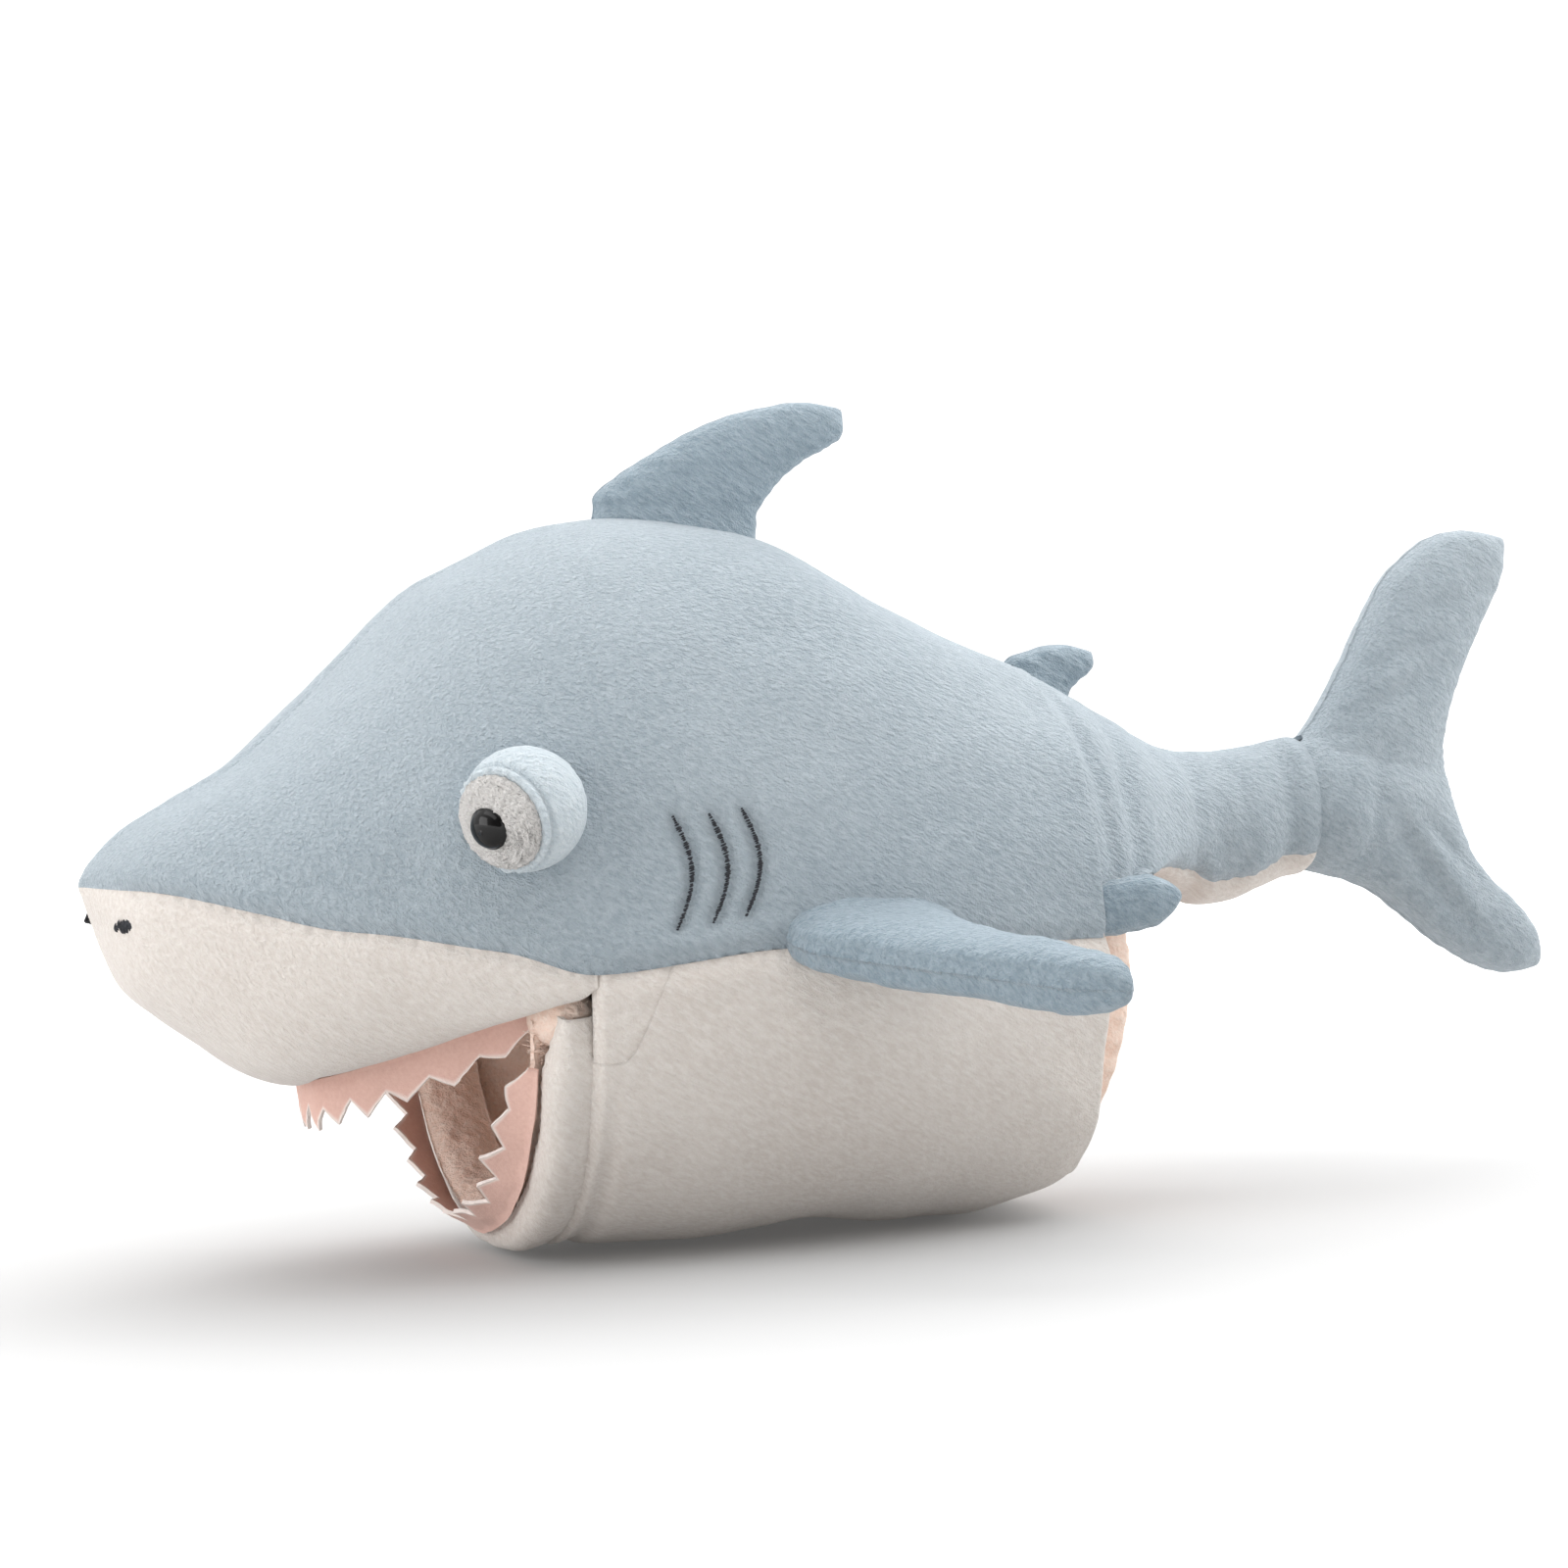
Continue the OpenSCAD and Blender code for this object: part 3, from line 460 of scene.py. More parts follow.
# %% Outline tables, in millimetres
BACK_LINE = [[-190.8, 106], [-186, 111], [-178, 118], [-165, 124.6], [-150, 132.3], [-134, 145], [-118, 159.6],
    [-102, 173.7], [-88, 181], [-71.5, 187.6], [-51, 190.6], [-29, 188.9], [-6, 183.3], [21, 167.6],
    [39, 158.2], [60, 148]]
SEAM_LINE = [[-190.8, 103.5], [-177, 101.8], [-159, 96.8], [-142, 91.6], [-126, 89], [-108, 85], [-97, 82.5],
    [-82, 77], [-71, 76.5], [-57, 77.6], [-31, 79.5], [9, 77.7], [37, 76.3], [60, 75.5]]
CHIN_LINE = [[-190.8, 101], [-187.3, 92], [-184.6, 83.8], [-181, 76], [-173, 68.5], [-165, 62.5], [-153, 53.4],
    [-142, 49], [-125, 48], [-110, 49], [-95, 48], [-78.001, 40]]
BELLY_LINE = [[-78, 2.5], [-60, 1], [-42, -1.5], [0, -1.5], [42, -1.5], [54, -0.5], [60, 2]]
HALF_WIDTH = [[-190.8, 3.5], [-188, 13], [-184, 22], [-177, 31], [-165, 41], [-150, 50], [-135, 57],
    [-120, 62], [-105, 67], [-90, 71], [-78, 73], [-60, 75], [-30, 76], [0, 76], [30, 74.5], [60, 71]]
LIP_HALF_WIDTH = [[-138, 9], [-134, 17], [-128, 26], [-118, 36], [-107, 45], [-95, 54], [-84, 62], [-78, 63]]
UPPER_ROUND, LOWER_ROUND = 2.2, 2.3
NOSE_X, MOUTH_X, HEM_X = -190.8, -78.0, 60.0


def palate_height(x):
    """The palate rises evenly towards the corner of the mouth, and drops away quickly ahead of the lip."""
    return 50 + (x + 138) * 21 / 56 - np.maximum(-138 - x, 0) * 1.5


def back_skin(x, angle):
    """The upper body: half the width times the rounded cosine, and from the seam up to the back line
    by the rounded sine."""
    c, s = np.cos(np.radians(angle)), np.sin(np.radians(angle))
    low, high = design_curve(SEAM_LINE, x), design_curve(BACK_LINE, x)
    y = design_curve(HALF_WIDTH, x) * rounded(c, UPPER_ROUND)
    return np.stack([x + 0 * c, y, low + (high - low) * rounded(s, UPPER_ROUND)], -1)


def under_skin(x, angle, bottom, floor, corner):
    """The underside: the same with the rounded sine going down to the bottom line, never below the
    floor, with the corner between them rounded."""
    c, s = np.cos(np.radians(angle)), np.sin(np.radians(angle))
    seam = design_curve(SEAM_LINE, x)
    z = seam + (seam - bottom) * rounded(s, LOWER_ROUND)
    y = design_curve(HALF_WIDTH, x) * rounded(c, LOWER_ROUND)
    return np.stack([x + 0 * c, y, soft_max(z, floor, corner)], -1)


def edge_crowd(count, share=0.5):
    """Numbers from 0 to 1, closer together near both ends: part even steps, part half a cosine."""
    even = np.linspace(0, 1, count)
    return (1 - share) * even + share * (0.5 - 0.5 * np.cos(np.pi * even))


def with_nose(grid, tip):
    """Adds rows that close the front of the body on one point, like the last stitch of a dome."""
    shrink = np.array([0.0, 0.3, 0.6, 0.85])[:, None, None]
    dome = tip + (grid[:1] - tip) * shrink
    dome[..., 0] = grid[0, 0, 0] - 0.8 * (1 - shrink[..., 0] ** 2)
    return np.concatenate([dome, grid])


NOSE_TIP = np.array([NOSE_X - 0.8, 0, 103.4])
BODY_CORE = np.array([-40.0, 0, 88])
print("palate height at the lip and at the mouth corner:", palate_height(np.array([-138.0, -78.0])))

# %% [markdown]
# ## The blue back
# The back is two panels joined along the top from nose to tail. Each is a grid from the top seam
# to the colour seam. The cloth sinks into both seams, dips a little where the gill threads pull
# on it, and falls into loose upright folds towards the open rear hem. Sinking the cloth in the
# mesh, and not only in the material, makes the seams show from every side.

# %% Gill lines and cloth relief
GILLS = [(-56.0, 114.5, 86.5), (-46.6, 114.6, 87.6), (-38.0, 115.4, 88.6)]


def gill_x(front, top, bottom, z):
    """A gill line bows towards the tail: half a sine between its ends."""
    u = np.clip((top - z) / (top - bottom), 0, 1)
    return front + 4.2 * np.sin(np.pi * u) - 1.2 * u


def gill_pull(grid):
    """How far the gill threads draw the cloth in: a narrow groove along each line, fading past its ends."""
    x, z = grid[..., 0], grid[..., 2]
    depth = 0.0
    for front, top, bottom in GILLS:
        inside = ease(bottom - 4, bottom + 1, z) * (1 - ease(top - 1, top + 4, z))
        line = gill_x(front, top, bottom, z)
        depth = depth + inside * (1.0 * hill(x, line, 1.9) + 0.35 * hill(x, line, 5.0))
    return depth


def filling(grid, seed, amount=0.55):
    """Soft lumps of the filling over the surface, broad ones and small ones."""
    x, y, z = grid[..., 0], grid[..., 1], grid[..., 2]
    return amount * wander(x, z + 0.7 * y, seed, 70) + 0.3 * amount * wander(x + y, z - y, seed + 1, 20)


def hem_folds(grid, reach=34.0):
    """Loose folds where the skin hangs open at the rear: waves round the body that grow towards the hem."""
    x, y, z = grid[..., 0], grid[..., 1], grid[..., 2]
    around = np.degrees(np.arctan2(z - 75, y))
    wave = np.sin(np.radians(around) * 9 + 0.06 * x) + 0.6 * np.sin(np.radians(around) * 14 + 1.3 - 0.04 * x)
    return 0.75 * wave * ease(HEM_X - reach, HEM_X, x) ** 1.5


def turned_hem(grid, normal, tuck=3.2, rows=5):
    """The cloth's rear edge turned in: rows that roll round a small circle and end inside."""
    turn = np.linspace(0, 1, rows + 1)[1:, None, None] * np.pi * 0.75
    out, back_dir = normal[-1:], np.array([1.0, 0, 0])
    return grid[-1:] + tuck * 0.55 * (np.sin(turn) * back_dir - (1 - np.cos(turn)) * out)


BACK_ROWS = NOSE_X + (HEM_X - NOSE_X) * np.linspace(0, 1, 270) ** 1.18


def back_panel(name, first_angle, last_angle, seed):
    """One side of the back. Columns run from the top seam down to the colour seam, and the cloth is
    pushed along its own normals."""
    x, angle = np.meshgrid(BACK_ROWS, first_angle + (last_angle - first_angle) * edge_crowd(84), indexing="ij")
    grid = back_skin(x, angle)
    normal = grid_normals(grid, BODY_CORE)
    down, run = along(grid, 1), along(grid, 0)
    width = down[:, -1:]
    fade = ease(NOSE_X, NOSE_X + 10, x)
    push = fade * (seam_dip(down, run[:, :1], 0.9) + seam_dip(width - down, run[:, -1:], 1.3, 2.2)
        + filling(grid, seed))
    push = push - gill_pull(grid) + hem_folds(grid)
    grid = grid + push[..., None] * normal
    grid = np.concatenate([with_nose(grid, NOSE_TIP), turned_hem(grid, normal)])
    return sew(name, grid, blue_velour, BODY_CORE)


def settle(piece, body, nodes):
    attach(piece, body)
    if nodes:
        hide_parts(*nodes)
    return piece


def bend(piece, nodes):
    """For a stuffed piece that runs from one body to the next: hides its solid parts and bakes its place into
    its points.
    """
    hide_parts(*nodes)
    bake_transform(piece)
    return piece


# %% Sew the back
back_left = settle(back_panel("back_panel_left_cloth", 90, 180, 11), "body",
                   ["back_panel_left", "head_stuffing", "body_stuffing"])
settle(back_panel("back_panel_right_cloth", 90, 0, 12), "body", ["back_panel_right"])
print("back panels:", len(back_left.data.polygons), "faces each")

# %% [markdown]
# ## The white snout and belly
# The snout panel wraps from seam to seam under the nose and ends in the soft upper lip, where it
# turns in to meet the palate. The belly hangs from the same seam and rests flat, and its front edge
# meets the lower lip. Beside it are two small corners by the hinge that never move, and fleece pads
# that fill the mouth's corners.

# %% Sew the snout
SNOUT_ROWS = NOSE_X + (MOUTH_X - NOSE_X) * np.linspace(0, 1, 150) ** 1.15


def snout_panel():
    """The white underside of the head, sunk at the colour seam and along its rear edge."""
    x, angle = np.meshgrid(SNOUT_ROWS, 180 + 180 * edge_crowd(150, 0.35), indexing="ij")
    grid = under_skin(x, angle, design_curve(CHIN_LINE, x), palate_height(x), 6.0)
    normal = grid_normals(grid, np.array([-130.0, 0, 80]))
    across, run = along(grid, 1), along(grid, 0)
    width = across[:, -1:]
    fade = ease(NOSE_X, NOSE_X + 10, x)
    near = np.minimum(across, width - across)
    push = fade * (seam_dip(near, run[:, :1], 1.3, 2.2) + filling(grid, 21, 0.4))
    push = push + seam_dip(MOUTH_X - x, run[:1].mean() + across, 0.7, 1.8) * ease(0, 6, near)
    grid = grid + push[..., None] * normal
    return sew("snout_panel_cloth", with_nose(grid, NOSE_TIP), white_velour, np.array([-130.0, 0, 80]))


snout = settle(snout_panel(), "body", ["snout_panel"])


def belly_edge(x):
    """The belly's upper edge as an angle: on the colour seam, except beside the hinge, where it slants
    down to leave room for the corner."""
    return 180 + 14.5 * (1 - ease(-73, -58, x))


def belly_grid(x, angle):
    """The belly skin with its colour seam, its filling, the two places where it lifts off the table,
    and the crease behind the lower lip."""
    bottom = design_curve(BELLY_LINE, np.maximum(x, MOUTH_X))
    grid = under_skin(x, angle, bottom, 0.0 * x, 3.0)
    under = ease(232, 262, angle) * (1 - ease(278, 308, angle))
    grid[..., 2] += under * (3.4 * hill(x, -14, 17) + 4.0 * ease(34, 58, x) + 1.0 * hill(x, -48, 9))
    normal = grid_normals(grid, np.array([-10.0, 0, 50]))
    whole = back_skin(x[:, :1], 0 * x[:, :1] + 180)
    reach = np.abs(grid[..., 2] - whole[..., 2]) + 0.4 * np.abs(np.abs(grid[..., 1]) - np.abs(whole[..., 1]))
    low_side = hill(angle, 226, 17) + hill(angle, 314, 17) + ease(226, 250, angle) * (1 - ease(290, 314, angle))
    crease = -1.6 * np.minimum(low_side, 1) * hill(x, -74.6 + 2.0 * hill(angle, 270, 50), 2.8)
    crease = crease - 2.6 * (1 - ease(-80.5, -76.5, x))
    push = seam_dip(reach, x, 1.3, 2.2) + filling(grid, 31, 0.6) * ease(0, 12, reach) + crease + hem_folds(grid)
    return grid + push[..., None] * normal, normal


def belly_panel():
    """The belly in one piece, from the lower lip back to the turned rear hem."""
    x, share = np.meshgrid(np.linspace(MOUTH_X - 3, HEM_X, 170), edge_crowd(190, 0.3), indexing="ij")
    first = belly_edge(x)
    grid, normal = belly_grid(x, first + (540 - 2 * first) * share)
    return sew("belly_panel_cloth", np.concatenate([grid, turned_hem(grid, normal)]), white_velour,
        np.array([0.0, 0, 50]))


def mouth_corner(name, side):
    """A small piece beside the hinge, from the colour seam down, whose lower rows tuck in under the belly."""
    x, share = np.meshgrid(np.linspace(MOUTH_X - 1.5, -55, 34), np.linspace(0, 1, 44), indexing="ij")
    down = (belly_edge(x) - 180 + 7) * share
    angle = 180 + down if side < 0 else 360 - down
    grid, normal = belly_grid(x, angle)
    past = down - belly_edge(x) + 180
    under = (0.25 * ease(-1.0, 0.5, past) + 1.7 * ease(0.5, 6, past))[..., None]
    return sew(name, grid - under * normal, white_velour, np.array([-60.0, 0, 50]))


def corner_fleece(name, side):
    """A fleece pad that fills the corner of the mouth: a dome seen from the side, with small nubs."""
    radius, around = np.meshgrid(np.linspace(0.02, 1, 26), np.linspace(0, 2 * np.pi, 61), indexing="ij")
    x, z = -83 + 9.5 * radius * np.cos(around), 65.5 + 8 * radius * np.sin(around)
    y = 57.5 + 9 * np.sqrt(1 - radius**2) + 0.5 * wander(x, z, 37, 3.5) * (1 - radius)
    y[:, -1], x[:, -1], z[:, -1] = y[:, 0], x[:, 0], z[:, 0]
    return sew(name, np.stack([x, side * y, z], -1), peach_fleece, np.array([-83.0, side * 40, 65.5]))


belly = bend(belly_panel(), ["belly_panel"])
for side, label in ((-1, "left"), (1, "right")):
    settle(mouth_corner(f"mouth_corner_{label}_cloth", side), "body", [])
    settle(corner_fleece(f"mouth_corner_{label}_fleece", side), "body", [])
print("white cloth sewn")

# %% [markdown]
# ## The lower lip
# The lower lip is a stuffed roll in the shape of a U, sewn on in front of the belly. Seen end
# on it is a rounded square between two U-shaped lines, an outer and an inner one. It swings about
# the hinge just above its two ends, so the whole roll rides on the jaw.

# %% Make the lip roll and its fleece lining
JAW_X, JAW_Z, LIP_HALF = -85.0, 77, 6.5


def jaw_line(angle, half_width, drop, power):
    """A U seen from the front, (y, z), hanging from the height of the colour seam."""
    c, s = np.cos(np.radians(angle)), np.sin(np.radians(angle))
    return np.stack([half_width * rounded(c, power), JAW_Z + drop * rounded(s, power)], -1)


def jaw_frame(angle):
    """The middle of the roll, its half thickness, the direction outwards, and its inner edge, round the U."""
    outer, inner = jaw_line(angle, 72.3, 75.8, 2.3), jaw_line(angle, 60.5, 65.5, 2.1)
    half = np.linalg.norm(outer - inner, axis=-1, keepdims=True) / 2
    return (outer + inner) / 2, half, (outer - inner) / (2 * half), inner


def jaw_point(angle, x, across):
    """A point at x, and across millimetres outwards from the roll's inner edge."""
    out, inner = jaw_frame(angle)[2:]
    flat = inner + across[..., None] * out
    return np.stack([x + 0 * flat[..., 0], flat[..., 0], flat[..., 1]], -1)


def lip_roll():
    """Rounded square sections carried round the U, from just under the belly's edge over the front to
    the inner face. The roll thins towards both ends, where it is sewn into the corner of the mouth."""
    angles, turn = np.meshgrid(np.linspace(187, 353, 170), np.linspace(78, -235, 54), indexing="ij")
    middle, half = jaw_frame(angles)[:2]
    end = np.minimum(ease(185, 200, angles), 1 - ease(340, 355, angles))
    size = 0.5 + 0.5 * end
    c, s = rounded(np.cos(np.radians(turn)), 2.4), rounded(np.sin(np.radians(turn)), 2.4)
    soft = 0.35 * wander(angles * 1.2, turn * 0.1, 41, 25) + 0.25 * np.sin(angles * 1.9) * hill(turn, -130, 30)
    across = half[..., 0] + (half[..., 0] * size + soft) * c
    back = np.maximum(s, 0)
    x = JAW_X + 0.8 + (LIP_HALF * size + soft - 0.6) * s + back * (3.6 + 6.8 * (1 - size))
    across = across - 1.3 * back
    grid = jaw_point(angles, x, across)
    core = np.stack([JAW_X + 0 * angles, middle[..., 0], middle[..., 1]], -1)
    return sew("lower_lip_cloth", grid, white_velour, core)


def jaw_lining():
    """Brushed fleece on the inner face of the roll, from the felt band back into the sleeve."""
    angles, depth = np.meshgrid(np.linspace(189, 351, 160), np.linspace(0, 1, 26), indexing="ij")
    x = -92.2 + 17.5 * depth
    swell = 1.6 * np.sin(np.pi * np.clip(depth * 1.1, 0, 1)) + 0.5 * wander(angles, x, 43, 9)
    swell = swell + 0.35 * wander(angles * 1.2, x, 44, 4)
    across = 1.2 * hill(depth, 0, 0.12) - 0.8 - swell
    grid = jaw_point(angles, x, across)
    cavity = np.array([-84.0, 0, 60])
    return sew("jaw_lining_cloth", grid, peach_fleece, grid + (grid - cavity) * 0.2, thick=1.4)


lip = settle(lip_roll(), "lower_jaw", ["jaw_lip_skin", "jaw_stuffing"])
lining = settle(jaw_lining(), "lower_jaw", ["jaw_lining"])
print("lip roll:", len(lip.data.polygons), "faces")

# %% [markdown]
# ## Felt teeth
# Each row of teeth is one strip of felt whose free edge is cut in a zigzag with shears. The strip
# hangs from the lip, a little curled. Columns stand at every tip and valley, so the zigzag is
# truly sharp. The cut edge is marked, so that the felt can be paler there.

# %% Cut the teeth
TOOTH_ROOT, TOOTH_TIP, FELT = 7.0, 12.5, 1.1
CUTS, COLUMNS_PER_CUT = 26, 6
UPPER_REACH, LOWER_FROM, LOWER_TO = 56, 198, 342
UPPER_LIP_X = [[0, -136.9], [9, -136.2], [17, -132.4], [26, -126.2], [36, -116], [45, -105], [54, -93],
    [61, -83.5]]


def tooth_strip(name, base, hang, face, seed, taper=1.0):
    """A zigzag strip. Its depth at each column runs evenly from valley to tip, tips vary a little as
    hand-cut ones do, and it curls outwards by the square of the depth."""
    at = np.linspace(0, CUTS, CUTS * COLUMNS_PER_CUT + 1)
    draw = np.random.default_rng(seed)
    knots = np.where(np.arange(CUTS + 1) % 2 == 1, TOOTH_TIP, TOOTH_ROOT) + draw.uniform(-0.9, 0.9, CUTS + 1)
    ends = np.minimum(np.minimum(at, CUTS - at) / 2.0, 1)
    length = np.interp(at, np.arange(CUTS + 1), knots) * (taper + (1 - taper) * ends)
    share = np.array([0, 0.25, 0.5, 0.7, 0.85, 0.94, 1.0])
    deep = share[None, :] * length[:, None]
    spot, way, out = base(at)[:, None], hang(at)[:, None], face(at)[:, None]
    curl = 1.5 * (deep / TOOTH_TIP) ** 2 + 0.5 * wander(at[:, None] * 3, deep, seed, 12)
    grid = spot + way * deep[..., None] + out * curl[..., None]
    cut = np.broadcast_to(ease(0.86, 1.0, share)[None, :], deep.shape)
    inside = grid - out * 5
    return sew(name, grid + out * FELT, pink_felt, inside, thick=FELT, marks={"cut": cut})


def upper_base(at):
    """Where the upper strip is sewn: along the lip's curve, just under the palate."""
    y = UPPER_REACH * (-1 + 2 * at / CUTS)
    x = design_curve(UPPER_LIP_X, np.abs(y))
    return np.stack([x, y, palate_height(x) - 0.6], -1)


def upper_face(at):
    """Square to the lip's curve and level: the curve's direction turned a quarter."""
    step = upper_base(np.clip(at + 0.5, 0, CUTS)) - upper_base(np.clip(at - 0.5, 0, CUTS))
    size = np.hypot(step[:, 0], step[:, 1])
    return np.stack([step[:, 1] / size, -step[:, 0] / size, 0 * size], -1)


def upper_hang(at):
    """Nearly straight down, leaning a little out."""
    face = upper_face(at)
    return np.stack([0.12 * face[:, 0] - 0.15, 0.12 * face[:, 1], 0 * at - 0.98], -1)


def lower_angle(at):
    """The strip's place round the jaw's U."""
    return LOWER_FROM + (LOWER_TO - LOWER_FROM) * at / CUTS


def lower_base(at):
    """Where the lower strip is sewn: the front of the roll's inner edge."""
    return jaw_point(lower_angle(at), np.full_like(at, JAW_X - LIP_HALF - 0.3), np.full_like(at, 4.2))


def lower_face(at):
    """Outwards across the roll."""
    out = jaw_frame(lower_angle(at))[2]
    return np.stack([0 * at, out[:, 0], out[:, 1]], -1)


def lower_hang(at):
    """Forwards and in, towards the middle of the mouth."""
    face = lower_face(at)
    return np.stack([0 * at - 0.80, -0.60 * face[:, 1], -0.60 * face[:, 2]], -1)


upper_strip = settle(tooth_strip("upper_teeth_felt", upper_base, upper_hang, upper_face, 51, 0.5), "body",
    ["upper_teeth"])
lower_strip = settle(tooth_strip("lower_teeth_felt", lower_base, lower_hang, lower_face, 52, 0.4), "lower_jaw",
    ["lower_teeth"])


def palate_cloth():
    """The roof of the mouth, felt under the head, slightly crowned between the lips."""
    x, share = np.meshgrid(np.linspace(-136.5, -72, 66), np.linspace(-1, 1, 61), indexing="ij")
    y = share * (design_curve(LIP_HALF_WIDTH, x) - 1.0)
    z = palate_height(x) - 1.3 + 0.5 * wander(x, y, 55, 30) - 0.6 * (1 - share**2)
    return sew("palate_felt", np.stack([x, y, z], -1), pink_felt, np.array([-100.0, 0, 90]), thick=1.2,
               marks={"cut": np.zeros_like(x)})


palate = settle(palate_cloth(), "body", ["palate_lining"])
print("teeth cut:", CUTS // 2, "tips in each strip")

# %% [markdown]
# ## The sleeve and the cuff
# A fleece tube runs from the wrist to the mouth: wide and low at the jaw, round at the wrist, and
# straight in line with the cuff over its last part. Its floor is one fixed piece, and its roof is a
# piece of its own that stays. The cuff is a thick fleece roll, gathered a little all round.

# %% Sew the sleeve
CUFF_X, CUFF_Z, CUFF_RADIUS, CUFF_WALL, CUFF_LENGTH = 66.0, 50.0, 34.0, 3.2, 26.0
CUFF_TILT = math.radians(16)
STRAIGHT_X, SLEEVE_RADIUS = 18.0, 39.2


def cuff_height(x):
    """The height of the cuff's tilted axis."""
    return CUFF_Z - (x - CUFF_X) * math.tan(CUFF_TILT)


SLEEVE_MIDDLE = [[-78, 41], [-50, 47], [-20, 55], [0, 60], [STRAIGHT_X, cuff_height(STRAIGHT_X)]]
SLEEVE_HALF_WIDTH = [[-78, 62], [-66, 57], [-50, 52], [-20, 44], [0, 40.6], [STRAIGHT_X, SLEEVE_RADIUS]]
SLEEVE_HALF_HEIGHT = [[-78, 29.5], [-66, 30], [-50, 31], [-20, 34.5], [0, 38.6],
    [STRAIGHT_X, SLEEVE_RADIUS / math.cos(CUFF_TILT)]]


def sleeve_point(x, angle, inset):
    """The sleeve's section is an ellipse; behind the straight part's start it is a circle about the
    tilted axis."""
    c, s = np.cos(np.radians(angle)), np.sin(np.radians(angle))
    rear = x >= STRAIGHT_X
    middle = np.where(rear, cuff_height(x), design_curve(SLEEVE_MIDDLE, x))
    wide = np.where(rear, SLEEVE_RADIUS, design_curve(SLEEVE_HALF_WIDTH, x)) - inset
    high = np.where(rear, SLEEVE_RADIUS / math.cos(CUFF_TILT), design_curve(SLEEVE_HALF_HEIGHT, x)) - inset
    return np.stack([x + 0 * c, wide * c, middle + high * s], -1)


def sleeve_piece(name, first, last):
    """Part of the tube between two angles, with small creases across it."""
    x, angle = np.meshgrid(np.linspace(-79.5, 59.5, 110), np.linspace(first, last, 90), indexing="ij")
    crease = 0.5 * wander(x, angle * 0.8, 61, 26) + 0.35 * wander(x * 0.6, angle * 1.2, 62, 9)
    grid = sleeve_point(x, angle, 1.9 + crease * ease(-79.5, -70, x))
    outside = grid + (grid - sleeve_point(x, angle, 20.0))
    return sew(name, grid, peach_fleece, outside, thick=1.3)


sleeve_floor = sleeve_piece("sleeve_floor_cloth", 139, 401)
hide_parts("hand_sleeve")
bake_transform(sleeve_floor)
sleeve_roof = settle(sleeve_piece("sleeve_roof_cloth", 35, 145), "body", [])

# %% Roll the cuff and close the rear


def cuff_roll():
    """A rounded section turned about the cuff's axis: straight inside, so that a wrist slides in, and
    swollen at its free end. Gathers run round it."""
    turn, around = np.meshgrid(np.linspace(0, 2 * np.pi, 73), np.linspace(0, 2 * np.pi, 221), indexing="ij")
    c, s = rounded(np.cos(turn), 3.2), rounded(np.sin(turn), 3.2)
    free = ease(-2, 10, c * CUFF_LENGTH / 2)
    gather = (0.35 * np.sin(around * 38 + 2 * np.sin(3 * around))
        + 0.35 * wander(around * 40, c * 6, 63, 14)) * ease(-0.4, 0.4, s)
    stitch = -0.7 * hill(c * CUFF_LENGTH / 2, 4.5, 1.1) * ease(0, 0.5, s)
    radius = CUFF_RADIUS + CUFF_WALL / 2 + s * (CUFF_WALL / 2) + ease(0, 0.6, s) * (1.3 * free + gather
        + stitch)
    along_axis = c * (CUFF_LENGTH / 2) + 0.9 * free
    side, up = radius * np.cos(around), radius * np.sin(around)
    x = CUFF_X + along_axis * math.cos(CUFF_TILT) + up * math.sin(CUFF_TILT)
    z = CUFF_Z - along_axis * math.sin(CUFF_TILT) + up * math.cos(CUFF_TILT)
    return np.stack([x, side, z], -1)


def closed_tube(name, grid, finish):
    """A grid that meets itself both ways, joined into one closed skin that faces away from its
    sections' middles."""
    faces = grid_quads(*grid.shape[:2])
    row, column = grid.shape[0] // 2, 5
    spot = grid[row, column]
    facing = np.cross(grid[row + 1, column] - spot, grid[row, column + 1] - spot)
    if np.dot(facing, spot - grid[:-1, column].mean(axis=0)) < 0:
        faces = faces[:, ::-1]
    return make_mesh(name, grid, faces, finish)


cuff = closed_tube("cuff_roll_cloth", cuff_roll(), peach_fleece)
settle(cuff, "body", ["cuff_hem"])


def rear_panel():
    """The panel that closes the rear between the skin and the sleeve, drawn in softly with small pleats."""
    share, angle = np.meshgrid(np.linspace(0, 1, 26), np.linspace(0, 360, 241), indexing="ij")
    x = np.full_like(share, HEM_X)
    upper = back_skin(x, np.where(angle <= 180, angle, 180))
    lower = under_skin(x, np.where(angle >= 180, angle, 180), design_curve(BELLY_LINE, x), 0 * x, 3.0)
    lower[..., 2] += 4.0 * ease(232, 262, angle) * (1 - ease(278, 308, angle))
    outer = np.where((angle <= 180)[..., None], upper, lower)
    around = np.unwrap(np.arctan2(outer[..., 2] - cuff_height(HEM_X), outer[..., 1]), axis=1)
    inner = sleeve_point(x, np.degrees(around), 1.0)
    middle = np.array([HEM_X, 0, 70.0])
    outer = middle + (outer - middle) * 0.972
    grid = outer + (inner - outer) * share[..., None]
    pleat = 0.5 * np.sin(np.radians(angle) * 46 + 2 * np.sin(np.radians(angle) * 5)) * np.sin(np.pi * share)
    grid[..., 0] = HEM_X + 0.6 + 1.3 * np.sin(np.pi * share) + pleat
    grid[..., 0] += 0.5 * wander(grid[..., 1], grid[..., 2], 65, 30)
    return sew("rear_panel_cloth", grid, peach_fleece, np.array([0.0, 0, 70]), thick=1.0)


rear = settle(rear_panel(), "body", ["rear_hem_panel"])
print("sleeve, cuff and rear panel sewn")

# %% [markdown]
# ## The tail
# Behind the open hem the body narrows into a soft stalk. The real stalk folds where it leaves the
# body and again where the tail fin is sewn on, so the cloth here runs across the joint in one
# piece, and the folds are pressed into it.

